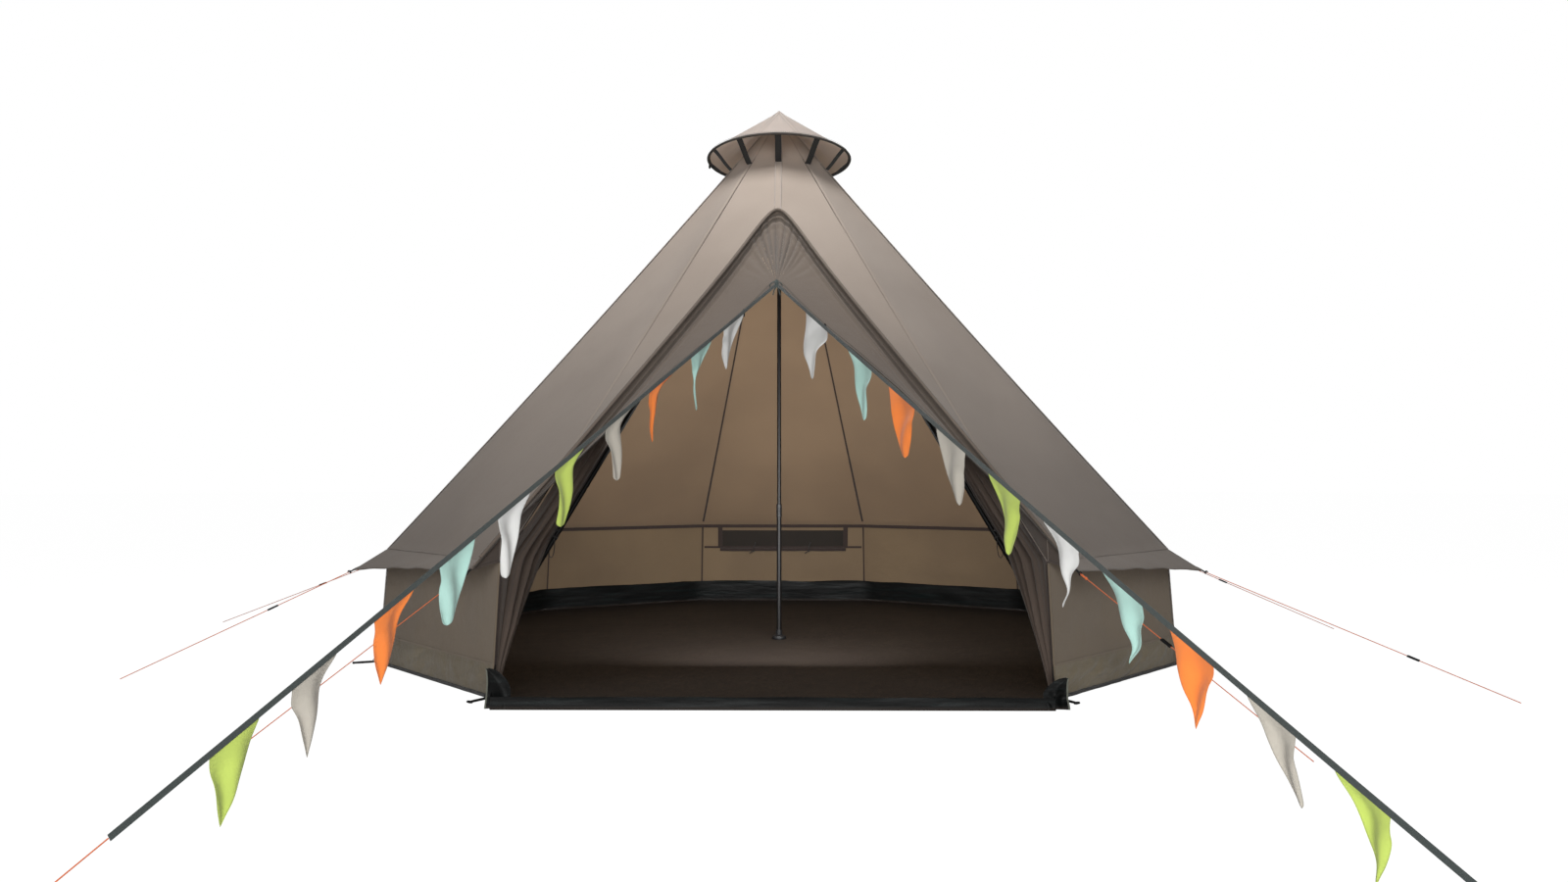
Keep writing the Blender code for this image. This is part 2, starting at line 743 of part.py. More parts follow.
def build_hat(parts, cutters):
    """Cone hat, its hoop with a strap to each ridge, and the vent's pull."""
    rim = HAT_TOP - HAT_DROP
    profile = (
        (0, HAT_TOP),
        (HAT_RADIUS / 3, mix(HAT_TOP, rim, 1 / 3)),
        (HAT_RADIUS * 2 / 3, mix(HAT_TOP, rim, 2 / 3)),
        (HAT_RADIUS, rim),
        (HAT_RADIUS, rim - HAT_SKIRT),
        (HAT_RADIUS - HAT_THICKNESS, rim - HAT_SKIRT),
        (HAT_RADIUS - HAT_THICKNESS, hat_under(HAT_RADIUS - HAT_THICKNESS)),
        (HAT_RADIUS / 2, hat_under(HAT_RADIUS / 2)),
        (0, hat_under(0)),
    )
    hat = turned("vent_hat", "hat_cloth", parts, profile, steps=HAT_STEPS)
    top = Vector((0, 0, HAT_TOP))
    hat.matrix_world = (
        Matrix.Translation(top) @ Matrix.Rotation(-HAT_TILT, 4, "X") @ Matrix.Translation(-top)
    )

    hoop_at = HAT_RADIUS - HAT_THICKNESS - HOOP_RADIUS - GAP
    slope = math.hypot(1, HAT_DROP / HAT_RADIUS)
    hoop_height = hat_under(hoop_at) - (HOOP_RADIUS + GAP) * slope
    circle = []
    for k in range(HAT_STEPS + 1):
        angle = 2 * math.pi * k / HAT_STEPS
        point = Vector((math.sin(angle) * hoop_at, math.cos(angle) * hoop_at, hoop_height))
        circle.append(hat_tilted(point))
    hoop = tube("hat_hoop", "webbing", parts, circle[:-1], HOOP_RADIUS, sides=1)
    hoop.data.splines[0].use_cyclic_u = True
    hoop = as_mesh(hoop)

    bm = bmesh.new()
    for k in range(SIDES):
        turn = k + 0.5
        out = plan(turn, 1)
        start = hat_tilted(out * hoop_at + UP * hoop_height)
        inward, lower = ridge_normal()
        foot = out * (STRAP_FOOT_RADIUS + STRAP_STANDOFF * inward)
        foot.z = ridge_height(STRAP_FOOT_RADIUS) + STRAP_STANDOFF * lower
        run = foot - start
        side = run.cross(UP).normalized()
        face = side.cross(run).normalized()
        along = run.normalized()
        frame = Matrix((side, face, along)).transposed().to_4x4()
        middle = (start + foot) / 2
        block(bm, Matrix.Translation(middle) @ frame, (STRAP_WIDTH, STRAP_THICKNESS, run.length))
    combine(hoop, as_tool(add_mesh("hat_straps", bm, "webbing", cutters)), "UNION")

    hang = hat_tilted(Vector((-hoop_at, 0, hoop_height)))
    hang.z -= HOOP_RADIUS + PULL_CORD_RADIUS - GAP / 2
    low = -PULL_CORD_LENGTH - PULL_BEAD_LENGTH
    slant = PULL_CORD_RADIUS * math.sqrt(1 / 2)
    profile = [(0, PULL_CORD_RADIUS), (slant, slant), (PULL_CORD_RADIUS, 0)]
    profile += [(PULL_CORD_RADIUS, -PULL_CORD_LENGTH)]
    profile += [(PULL_BEAD_RADIUS, mix(-PULL_CORD_LENGTH, low, share)) for share in PULL_BEAD_SHARES]
    profile += [(PULL_BEAD_RADIUS / 2, low), (0, low)]
    pull = turned("vent_pull", "black_plastic", parts, profile, steps=BEAD_STEPS)
    pull.location = hang


def build_centre_pole(parts):
    """Telescopic pole: foot, lower tube, locking collar, upper tube and spike."""
    floor = SHEET_THICKNESS + GAP
    plate = floor + FOOT_HEIGHT
    socket = plate + FOOT_SOCKET_HEIGHT
    bore = LOWER_TUBE_RADIUS + GAP
    foot = (
        (bore, socket), (FOOT_SOCKET_RADIUS, socket),
        (FOOT_SOCKET_RADIUS, plate + FOOT_HEIGHT / 2),
        (FOOT_RADIUS * FOOT_TOP_SHARE, plate), (FOOT_RADIUS, plate - FOOT_HEIGHT / 2), (FOOT_RADIUS, floor),
        (0, floor),
    )
    turned("pole_foot", "black_plastic", parts, [(0, plate), (bore, plate), *foot], steps=FINE_STEPS)

    seat = plate + GAP
    lower_top = COLLAR_HEIGHT + COLLAR_LENGTH / 2
    lower = (
        (LOWER_TUBE_BORE, lower_top), (LOWER_TUBE_RADIUS, lower_top),
        (LOWER_TUBE_RADIUS, seat), (LOWER_TUBE_BORE, seat),
    )
    turned("pole_lower", "pole", parts, lower, ring=True)

    collar_low = COLLAR_HEIGHT - COLLAR_LENGTH / 2
    collar_top = COLLAR_HEIGHT + COLLAR_LENGTH / 2 + GAP + COLLAR_RADIUS - LOWER_TUBE_RADIUS
    wide = LOWER_TUBE_RADIUS + GAP
    narrow = UPPER_TUBE_RADIUS + GAP
    ledge = lower_top + GAP
    chamfer = COLLAR_RADIUS - LOWER_TUBE_RADIUS
    collar = (
        (narrow, collar_top + chamfer), (LOWER_TUBE_RADIUS, collar_top + chamfer),
        (COLLAR_RADIUS, collar_top), (COLLAR_RADIUS, collar_low + chamfer),
        (wide + GAP, collar_low), (wide, collar_low), (wide, ledge), (narrow, ledge),
    )
    turned("pole_collar", "black_plastic", parts, collar, steps=FINE_STEPS, ring=True)

    apex = hat_under(0) - SPIKE_RADIUS * HAT_DROP / HAT_RADIUS - GAP * 2
    shoulder = CROWN_HEIGHT - SPIKE_STEM
    upper_low = lower_top - TUBE_OVERLAP
    upper = (
        (UPPER_TUBE_BORE, shoulder), (UPPER_TUBE_RADIUS, shoulder),
        (UPPER_TUBE_RADIUS, upper_low), (UPPER_TUBE_BORE, upper_low),
    )
    made = turned("pole_upper", "pole", parts, upper, ring=True)
    centre_origin(made, upper_low)

    plug = UPPER_TUBE_BORE - GAP
    spike_base = shoulder + GAP
    spike = (
        (0, apex), (SPIKE_RADIUS, apex), (SPIKE_RADIUS, spike_base + SPIKE_STEM / 2),
        (SPIKE_SHOULDER, spike_base + SPIKE_STEM / 4), (SPIKE_SHOULDER, spike_base),
        (plug, spike_base), (plug, spike_base - SPIKE_STEM), (0, spike_base - SPIKE_STEM),
    )
    made = turned("pole_spike", "black_plastic", parts, spike, steps=SLIM_STEPS)
    centre_origin(made, spike_base)


def centre_origin(made, height):
    """Move an object's origin up its axis without moving its shape."""
    made.data.transform(Matrix.Translation((0, 0, -height)))
    made.location.z = height


def frame_points():
    """The door frame's plane: foot, elbow top and the point where its legs would cross."""
    foot = plan(LEG_TURN_SHARE, WALL_FOOT_RADIUS - LEG_INSET)
    middle = Vector((0, foot.y, 0))
    top = hood_apex() - hood_normal() * FRAME_CLEARANCE
    rise = (top - middle).normalized()
    cross = top + rise * ELBOW_OVER
    return foot, middle, top, cross


def leg_line(side):
    """Foot point and direction of a door leg's centreline."""
    foot, middle, top, cross = frame_points()
    foot = Vector((side * foot.x, foot.y, 0))
    return foot, (cross - foot).normalized()


def leg_at(side, height):
    """Centre of a door leg at a height."""
    foot, along = leg_line(side)
    return foot + along * (height / along.z)


def build_door_frame(parts):
    """Two legs that stand on the groundsheet, joined by a bent elbow under the hood."""
    foot, middle, top, cross = frame_points()
    rise = (cross - middle).normalized()
    half = math.atan2(foot.x, (cross - middle).length)
    radius = ELBOW_OVER / (1 / math.sin(half) - 1)
    centre = cross - rise * (radius / math.sin(half))
    tangent = radius / math.tan(half)
    sweep = math.pi / 2 - half
    across = Vector((1, 0, 0))
    arc = []
    for k in range(ELBOW_STEPS + 1):
        angle = mix(-sweep, sweep, k / ELBOW_STEPS)
        arc.append(centre + (across * math.sin(angle) + rise * math.cos(angle)) * radius)

    stems = []
    for name, side in SIGNS.items():
        along = leg_line(side)[1]
        stem = cross - along * (tangent + ELBOW_STEM)
        lift = SHEET_THICKNESS + GAP + LEG_RADIUS * math.sqrt(1 - along.z ** 2)
        base = leg_at(side, lift)
        length = (stem - base).length - GAP
        cap = LEG_RADIUS * 2
        profile = (
            (LEG_BORE, length), (LEG_RADIUS, length), (LEG_RADIUS, 0), (0, 0),
            (0, cap), (LEG_BORE, cap),
        )
        leg = turned("door_leg_" + name, "pole", parts, profile, ring=True, steps=SLIM_STEPS)
        aim(leg, base, along)
        stems.append((stem - along * SPIGOT_LENGTH, stem - along * GAP / 2, stem))
    left, right = stems
    points = [*left, *arc, *reversed(right)]
    slim = (LEG_BORE - GAP) / LEG_RADIUS
    shares = [slim, slim, *[1] * (len(points) - 4), slim, slim]
    tube("door_elbow", "pole", parts, points, LEG_RADIUS, shares=shares, sides=3)


def flap_back(side, height):
    """Inner edge of the gathered door cloth: out to its tie, then up along the leg."""
    corner = plan(4.5, WALL_FOOT_RADIUS - FLAP_FOOT_INSET)
    start = Vector((side * (corner.x - FLAP_FOOT_WIDTH), corner.y, height))
    away = Vector((side * FLAP_OUT_SHARE, -FLAP_FORWARD_SHARE, 0))
    offset = away * (LEG_RADIUS + FLAP_LEG_CLEARANCE)
    if height >= FLAP_TIE_HEIGHT:
        return leg_at(side, height) + offset
    share = height / FLAP_TIE_HEIGHT
    tied = leg_at(side, FLAP_TIE_HEIGHT) + offset
    point = mix(start, tied, share ** FLAP_DRAW_POWER)
    point.z = height
    return point


def flap_front(side, height):
    """Outer edge of the door cloth: inside the front corner, then under its ridge."""
    radius = wall_radius(height) - FLAP_FOOT_INSET
    if height > WALL_HEIGHT:
        share = (CROWN_HEIGHT - height) / (CROWN_HEIGHT - WALL_HEIGHT)
        radius = mix(CROWN_RADIUS, WALL_TOP_RADIUS, share) - FLAP_FOOT_INSET
    corner = plan(4.5, radius)
    return Vector((side * corner.x, corner.y, height))


def build_door_flap(name, side, parts):
    """Door cloth gathered to one side, in soft upright folds."""
    floor = SHEET_THICKNESS + GAP

    def place(u, v, face):
        height = mix(floor, FLAP_TOP, v)
        back = flap_back(side, height)
        front = flap_front(side, height)
        run = front - back
        across = Vector((run.y, -run.x, 0)).normalized()
        swell = math.sin(math.pi * u) * min(1, v / FLAP_CALM_SHARE)
        lean = u + v * FLAP_LEAN_SHARE
        fold = FLAP_FOLD_DEPTH * swell * math.sin(2 * math.pi * FLAP_FOLDS * lean)
        return mix(back, front, u) + across * (fold + (face - 0.5) * FLAP_THICKNESS)

    sheet(name, "wall_cloth", parts, FLAP_COLUMNS, FLAP_ROWS, place)


def line_start(name):
    """Start of a door guy, against the middle of the hood's edge."""
    edge = hood_edge(LINE_SPREAD / front_peak(1).x)
    forward = HOOD_THICKNESS / abs(hood_normal().y) + TAPE_THICKNESS / 2 + GAP * 2
    return Vector((SIGNS[name] * edge.x, edge.y - forward, edge.z))


def line_point(name, share):
    """Point of a door guy, with its slight sag."""
    peg = Vector((SIGNS[name] * DOOR_PEG_X[name], -DOOR_PEG_REACH[name], ROPE_RADIUS + GAP))
    point = mix(line_start(name), peg, share)
    point.z -= LINE_SAG[name] * 4 * share * (1 - share)
    return point


def line_run(name):
    """A door guy's way from its start to its peg."""
    return line_point(name, 1) - line_point(name, 0)


def line_side(name):
    """Level direction across a door guy."""
    run = line_run(name)
    return Vector((run.y, -run.x, 0)).normalized()


def build_tape(name, parts):
    """Bunting tape along a door guy, and the rope tail from it to the ground."""
    normal = line_side(name)
    end = TAPE_END_SHARES[name]

    def place(u, v, face):
        point = line_point(name, u * end)
        return point + UP * (v - 0.5) * TAPE_WIDTH + normal * (face - 0.5) * TAPE_THICKNESS

    sheet("bunting_tape_" + name, "webbing", parts, TAPE_COLUMNS, 1, place)
    start = end + (ROPE_RADIUS / 2 + GAP) / line_run(name).length
    points = [line_point(name, mix(start, 1, k / TAIL_COLUMNS)) for k in range(TAIL_COLUMNS + 1)]
    tube("door_guy_" + name, "rope", parts, points, ROPE_RADIUS)


def build_pennant(name, index, parts):
    """One limp pennant under the tape, gathered and swaying as it hangs."""
    middle, wide, tall, folded, swayed = PENNANT_SHARES[name][index]
    normal = line_side(name)
    run = line_run(name)
    along = run.normalized()
    full = PENNANT_WIDTH * wide
    fold = PENNANT_FOLD * folded
    sway = PENNANT_SWAY * swayed
    under = TAPE_WIDTH / 2 + GAP * 2
    hub = line_point(name, middle)

    def place(u, v, face):
        top = line_point(name, middle + (u - 0.5) * full / run.length)
        narrow = mix(full, PENNANT_TIP, v) / full
        hang = mix(hub, top, narrow)
        hang.z = mix(top.z, hub.z, v) - under - PENNANT_LENGTH * tall * v
        wave = fold * v * math.sin(2 * math.pi * (u - PENNANT_FOLD_SHARE) + PENNANT_TWIST * v)
        drift = sway * v * v
        across = normal * (wave + drift + (face - 0.5) * PENNANT_THICKNESS)
        return hang + across + along * (drift * PENNANT_SLANT_SHARE)

    colour = PENNANT_COLOURS[index % len(PENNANT_COLOURS)]
    sheet("pennant_%s_%d" % (name, index + 1), colour, parts, PENNANT_COLUMNS, PENNANT_ROWS, place)


def guy_ends(turn, reach, swing):
    """Upper end at the eave's lip and lower end on the ground of a guy."""
    lip = roof_face(turn, 2) - roof_normal(turn, 2) * ROOF_THICKNESS / 2
    sign = -1 if turn > 0 else 1
    peg = Matrix.Rotation(sign * math.radians(swing), 3, "Z") @ plan(turn, 1) * reach
    peg.z = ROPE_RADIUS + GAP
    run = (peg - lip).normalized()
    return lip + run * GAP * 2, peg


def runner_mesh():
    """Flat runner bar with a lengthwise bore, along Z about the origin."""
    cutters = bpy.data.collections["cutters"]
    bm = bmesh.new()
    block(bm, Matrix.Identity(4), (RUNNER_WIDTH, RUNNER_THICKNESS, RUNNER_LENGTH))
    bar = add_mesh("runner_blank", bm, "black_plastic", cutters)
    bevel = bar.modifiers.new("round", "BEVEL")
    bevel.width = RUNNER_EDGE
    bevel.segments = 2
    drill = bmesh.new()
    bmesh.ops.create_cone(drill, cap_ends=True, segments=BEAD_STEPS, radius1=RUNNER_BORE,
                          radius2=RUNNER_BORE, depth=RUNNER_LENGTH * 2)
    tool = as_tool(add_mesh("runner_drill", drill, "black_plastic", cutters))
    combine(bar, tool, "DIFFERENCE")
    graph = bpy.context.evaluated_depsgraph_get()
    graph.update()
    mesh = bpy.data.meshes.new_from_object(bar.evaluated_get(graph))
    bpy.data.objects.remove(bar)
    return mesh


def build_guys(parts):
    """The six eave guys in sight, each with a runner that slides along it."""
    mesh = runner_mesh()
    for name, turn, reach, swing, place in GUYS:
        start, end = guy_ends(turn, reach, swing)
        points = [mix(start, end, k / GUY_COLUMNS) for k in range(GUY_COLUMNS + 1)]
        tube("guy_" + name, "rope", parts, points, ROPE_RADIUS)
        runner = bpy.data.objects.new("runner_" + name, mesh)
        parts.objects.link(runner)
        aim(runner, mix(start, end, place), (end - start).normalized())


def main():
    """Build the tent."""
    clear_scene()
    parts = new_collection("pyramid_tent")
    cutters = new_collection("cutters")
    build_roof("roof_left", -5.5, -1.5, parts)
    build_roof("roof_right", 1.5, 5.5, parts)
    build_roof("roof_back", -1.5, 1.5, parts)
    build_hood(parts)
    build_wall("wall_left", -4.5, -0.5, parts)
    build_wall("wall_right", 0.5, 4.5, parts)
    wall_back = build_wall("wall_back", -0.5, 0.5, parts)
    build_window(wall_back, parts, cutters)
    build_groundsheet(parts)
    build_crown(parts)
    build_hat(parts, cutters)
    build_centre_pole(parts)
    build_door_frame(parts)
    for name, side in SIGNS.items():
        build_door_flap("door_flap_" + name, side, parts)
        build_tape(name, parts)
        for index in range(len(PENNANT_SHARES[name])):
            build_pennant(name, index, parts)
    build_guys(parts)


main()
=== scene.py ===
"""Pyramid tent: the looks of an eleven-sided tent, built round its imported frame.

Units are metres, +Z is up and the open door faces -Y. A place round the tent is a turn, counted in
wall panels from the middle of the back panel: corners lie at half turns, positive ones on the +X side.
"""

import logging
import math
from abc import ABC, abstractmethod
from dataclasses import dataclass, field
from enum import Enum
from typing import Optional, Sequence, Union

import bmesh
import bpy
import numpy as np
from mathutils import Matrix, Vector, noise


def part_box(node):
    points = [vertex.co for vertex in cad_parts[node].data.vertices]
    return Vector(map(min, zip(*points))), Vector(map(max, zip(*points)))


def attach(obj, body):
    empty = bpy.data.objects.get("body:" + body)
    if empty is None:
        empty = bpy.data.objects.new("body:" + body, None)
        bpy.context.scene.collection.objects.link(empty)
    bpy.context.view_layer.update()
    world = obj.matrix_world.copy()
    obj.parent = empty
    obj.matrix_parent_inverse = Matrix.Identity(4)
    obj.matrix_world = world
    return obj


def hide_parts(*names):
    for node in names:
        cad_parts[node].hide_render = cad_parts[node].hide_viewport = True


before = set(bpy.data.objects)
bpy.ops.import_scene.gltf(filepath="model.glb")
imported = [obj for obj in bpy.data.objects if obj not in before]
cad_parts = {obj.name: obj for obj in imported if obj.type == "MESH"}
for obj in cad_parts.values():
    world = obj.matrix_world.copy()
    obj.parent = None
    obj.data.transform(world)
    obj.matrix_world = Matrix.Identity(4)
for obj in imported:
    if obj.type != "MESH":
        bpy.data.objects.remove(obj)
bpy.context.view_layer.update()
LOG = logging.getLogger("pyramid_tent")

Colour = tuple[int, int, int]
Number = Union["Value", float]
UP = Vector((0, 0, 1))
SIGNS = {"left": -1, "right": 1}
AHEAD = Vector((0, -1, 0))
FRONT_TURN = 4.5  # turn of the corner on either side of the door
CORNERS = 10  # corners between the wall panels, those at the door among them
TAPE = 0.0014  # thickness of the seam tapes


def linear(colour: Colour) -> tuple[float, float, float, float]:
    """Turn a display colour, 0 to 255, into linear values with full alpha."""
    shares = [channel / 255 for channel in colour]
    low = [s / 12.92 if s <= 0.04045 else ((s + 0.055) / 1.055) ** 2.4 for s in shares]
    return low[0], low[1], low[2], 1.0


def mix(a, b, share: float):
    """Return the value or point at a share of the way from a to b."""
    return a * (1 - share) + b * share


def steps(low, high, count: int) -> list:
    """Return the values or points of so many equal steps from low to high, both among them."""
    return [mix(low, high, k / count) for k in range(count + 1)]


def smooth(share: float) -> float:
    """Ease a share between 0 and 1."""
    share = min(1.0, max(0.0, share))
    return share * share * (3 - 2 * share)


def ripple(point: Sequence[float], scale: float) -> float:
    """Return smooth noise between about -1 and 1 at a point, with features of 1 / scale metres."""
    return noise.noise(Vector(point) * scale)


# ---- materials ----


class Value:
    """A socket of a material's tree, with arithmetic that adds Math nodes."""

    def __init__(self, shader: "Shader", socket: bpy.types.NodeSocket) -> None:
        """Keep a socket with the tree that it belongs to."""
        self.shader = shader
        self.socket = socket

    def apply(self, operation: str, *values: Number) -> "Value":
        """Add a Math node that works on the given values."""
        return self.shader.node("ShaderNodeMath", {"operation": operation}, dict(enumerate(values)))

    def __add__(self, other: Number) -> "Value":
        """Add."""
        return self.apply("ADD", self, other)

    def __radd__(self, other: Number) -> "Value":
        """Add, reflected."""
        return self.apply("ADD", other, self)

    def __sub__(self, other: Number) -> "Value":
        """Subtract."""
        return self.apply("SUBTRACT", self, other)

    def __rsub__(self, other: Number) -> "Value":
        """Subtract, reflected."""
        return self.apply("SUBTRACT", other, self)

    def __mul__(self, other: Number) -> "Value":
        """Multiply."""
        return self.apply("MULTIPLY", self, other)

    def __truediv__(self, other: Number) -> "Value":
        """Divide."""
        return self.apply("DIVIDE", self, other)

    def __abs__(self) -> "Value":
        """Take the absolute value."""
        return self.apply("ABSOLUTE", self)

    def ramp(self, low: float, high: float) -> "Value":
        """Map the value smoothly to 0 at low and 1 at high."""
        settings = {"interpolation_type": "SMOOTHSTEP"}
        inputs = {"Value": self, "From Min": low, "From Max": high}
        return self.shader.node("ShaderNodeMapRange", settings, inputs)


class Coordinates(Enum):
    """Where a pattern takes its place from."""

    OBJECT = "Object"
    UV = "UV"


class Shader:
    """The tree of one material, built round its Principled shader."""

    def __init__(self, name: str) -> None:
        """Start a material with a plain Principled shader."""
        self.material = bpy.data.materials.new(name)
        self.material.use_nodes = True
        self.tree = self.material.node_tree
        self.surface = self.tree.nodes["Principled BSDF"]

    def node(
        self,
        kind: str,
        settings: Optional[dict] = None,
        inputs: Optional[dict] = None,
        output: Union[int, str] = 0,
    ) -> Value:
        """Add a node.

        Args:
            kind: the node's type.
            settings: its own settings, set first; "stops" holds a ramp's places and colours.
            inputs: values or links of its sockets, by name or number.
            output: which of its outputs to return.

        Returns:
            The chosen output.
        """
        made = self.tree.nodes.new(kind)
        for key, value in (settings or {}).items():
            if key == "stops":
                while len(made.color_ramp.elements) < len(value):
                    made.color_ramp.elements.new(1)
                for stop, (place, colour) in zip(made.color_ramp.elements, value):
                    stop.position = place
                    stop.color = colour
            else:
                setattr(made, key, value)
        for key, value in (inputs or {}).items():
            if isinstance(value, Value):
                self.tree.links.new(value.socket, made.inputs[key])
            else:
                made.inputs[key].default_value = value
        return Value(self, made.outputs[output])

    def place(self, kind: Coordinates) -> Value:
        """Return the surface's coordinates of a kind."""
        return self.node("ShaderNodeTexCoord", output=kind.value)

    def attribute(self, name: str) -> Value:
        """Return a number kept on the mesh."""
        return self.node("ShaderNodeAttribute", {"attribute_name": name}, output="Fac")

    def axis(self, vector: Value, name: str) -> Value:
        """Return one axis of a vector, X, Y or Z."""
        return self.node("ShaderNodeSeparateXYZ", inputs={0: vector}, output=name)

    def stretch(self, vector: Value, scale: Sequence[float], turn: float = 0.0) -> Value:
        """Scale a vector along its axes, after a turn about Z."""
        inputs = {"Vector": vector, "Scale": scale, "Rotation": (0.0, 0.0, turn)}
        return self.node("ShaderNodeMapping", inputs=inputs)

    def noise(self, vector: Value, scale: float, detail: float = 2.0) -> Value:
        """Return noise between 0 and 1, with features of 1 / scale metres."""
        return self.node("ShaderNodeTexNoise", inputs={"Vector": vector, "Scale": scale, "Detail": detail})

    def ribs(self, vector: Value, pitch: float, direction: str) -> Value:
        """Return sine ribs of a pitch in metres, across the X or Y axis, or DIAGONAL."""
        settings = {"bands_direction": direction}
        return self.node("ShaderNodeTexWave", settings, {"Vector": vector, "Scale": 0.31416 / pitch})

    def tint(self, factor: Number, low: Union[Value, Sequence[float]], high: Union[Value, Sequence[float]]) -> Value:
        """Mix two colours by a factor."""
        settings = {"data_type": "RGBA", "clamp_factor": True}
        return self.node("ShaderNodeMix", settings, {0: factor, 6: low, 7: high}, 2)

    def bump(self, height: Value, depth: float) -> Value:
        """Turn a height between 0 and 1 into a normal, at a depth in metres."""
        return self.node("ShaderNodeBump", inputs={"Height": height, "Distance": depth})

    def let_through(self, colour: Union[Value, Sequence[float]], share: float) -> None:
        """Let a share of the light through to the other side, tinted by a colour."""
        self.blend(share, self.node("ShaderNodeBsdfTranslucent", inputs={"Color": colour}))

    def blend(self, share: Number, other: Value) -> None:
        """Mix a share of another shader into the surface."""
        surface = Value(self, self.surface.outputs[0])
        both = self.node("ShaderNodeMixShader", inputs={0: share, 1: surface, 2: other})
        self.tree.links.new(both.socket, self.tree.nodes["Material Output"].inputs[0])

    def set(self, **values: Union[Value, float, Sequence[float]]) -> None:
        """Set sockets of the Principled shader, with _ for a space in their names.

        Args:
            values: sockets by name, with their values or links.
        """
        for key, value in values.items():
            socket = self.surface.inputs[key.replace("_", " ")]
            if isinstance(value, Value):
                self.tree.links.new(value.socket, socket)
            else:
                socket.default_value = value


@dataclass(frozen=True)
class Finish(ABC):
    """A named material of the tent."""

    name: str

    @abstractmethod
    def paint(self, shader: Shader) -> None:
        """Lay the finish on its material's tree."""

    def make(self) -> bpy.types.Material:
        """Build the material."""
        shader = Shader(self.name)
        self.paint(shader)
        return shader.material


@dataclass(frozen=True)
class WovenCloth(Finish):
    """Plain woven cloth, patterned on its UV map in metres.

    seam darkens a stitched line beside the places where the mesh's "seam" number is near 0;
    through is the share of light that passes to the other side;
    and its darkening towards the ground is painted shade.
    """

    colour: Colour
    shade: Colour
    roughness: float = 0.78
    sheen: float = 0.15
    weave: float = 0.0016
    crumple: float = 0.004
    seam: float = 0.35
    through: float = 0.0
    fade_and_painted_shade: float = 0.0

    def paint(self, shader: Shader) -> None:
        """Lay the finish on its material's tree.

        Args:
            shader: the material's tree.
        """
        place = shader.place(Coordinates.OBJECT)
        flat = shader.place(Coordinates.UV)
        patches = shader.noise(place, 1.7, 3.0)
        slubs = shader.noise(shader.stretch(flat, (40.0, 420.0, 1.0)), 1.0, 2.0)
        colour = shader.tint(patches.ramp(0.3, 0.7), linear(self.shade), linear(self.colour))
        speck = slubs.ramp(0.62, 0.8) * 0.16
        colour = shader.tint(speck, colour, linear(self.shade))
        distance = shader.attribute("seam")
        stitched = 1 - (abs(distance - 0.009) / 0.003).ramp(0.5, 1.0)
        colour = shader.tint(stitched * self.seam, colour, linear(tuple(int(c * 0.45) for c in self.shade)))
        threads = shader.ribs(flat, self.weave, "X") * shader.ribs(flat, self.weave, "Y")
        creases = shader.noise(place, 9.0, 4.0)
        # Painted shade: the colour darkens towards the ground, standing in for less light on the lower cloth.
        if self.fade_and_painted_shade:
            high = shader.axis(place, "Z").ramp(0.35, 1.6)
            colour = shader.tint(high * self.fade_and_painted_shade + (1 - self.fade_and_painted_shade), (0, 0, 0, 1), colour)
        height = threads * 0.06 + creases * (self.crumple / 0.002) - stitched * 0.25
        grain = slubs * 0.12 + (self.roughness - 0.06)
        shader.set(
            Base_Color=colour,
            Roughness=grain,
            Sheen_Weight=self.sheen,
            Sheen_Roughness=0.6,
            Specular_IOR_Level=0.3,
            Normal=shader.bump(height, 0.002),
        )
        if self.through:
            shader.let_through(shader.tint(0.6, colour, (1, 1, 1, 1)), self.through)


@dataclass(frozen=True)
class CoatedSheet(Finish):
    """Coated groundsheet: brown floor, near-black green walls streaked with painted sheen, and a dull crinkled sheen.
    """

    floor: Colour
    wall: Colour
    # rim is the paler teal of the painted sheen streaks on the walls.
    rim: Colour

    def paint(self, shader: Shader) -> None:
        """Lay the finish on its material's tree.

        Args:
            shader: the material's tree.
        """
        place = shader.place(Coordinates.OBJECT)
        high = shader.axis(place, "Z")
        blotches = shader.noise(place, 2.5, 4.0)
        floor = shader.tint(
            blotches.ramp(0.35, 0.7), linear(self.floor), linear(tuple(int(c * 1.15) for c in self.floor))
        )
        # Painted sheen: streaks tint the near-black walls towards the paler teal rim colour.
        painted_sheen_streaks = shader.noise(shader.stretch(place, (4.0, 4.0, 60.0)), 1.0, 4.0)
        wall = shader.tint(painted_sheen_streaks.ramp(0.45, 0.75), linear(self.wall), linear(self.rim))
        colour = shader.tint(high.ramp(0.004, 0.016), floor, wall)
        crinkle = shader.noise(shader.stretch(place, (7.0, 11.0, 40.0)), 1.0, 5.0)
        fine = shader.noise(place, 120.0, 2.0)
        height = crinkle * 0.9 + fine * 0.06
        shader.set(
            Base_Color=colour,
            Roughness=0.62 - painted_sheen_streaks.ramp(0.4, 0.8) * 0.14 * high.ramp(0.004, 0.016),
            Specular_IOR_Level=0.2,
            Normal=shader.bump(height, 0.006),
        )


@dataclass(frozen=True)
class PaintedTube(Finish):
    """Satin powder coat on steel tube, scuffed along its length."""

    colour: Colour
    scuff: Colour

    def paint(self, shader: Shader) -> None:
        """Lay the finish on its material's tree.

        Args:
            shader: the material's tree.
        """
        place = shader.place(Coordinates.OBJECT)
        peel = shader.noise(place, 700.0, 2.0)
        scratches = shader.noise(shader.stretch(place, (160.0, 160.0, 3.0)), 1.0, 3.0)
        worn = scratches.ramp(0.64, 0.78)
        shader.set(
            Base_Color=shader.tint(worn * 0.35, linear(self.colour), linear(self.scuff)),
            Roughness=0.46 + worn * 0.2 + peel * 0.06,
            Specular_IOR_Level=0.22,
            Normal=shader.bump(peel, 0.00015),
        )


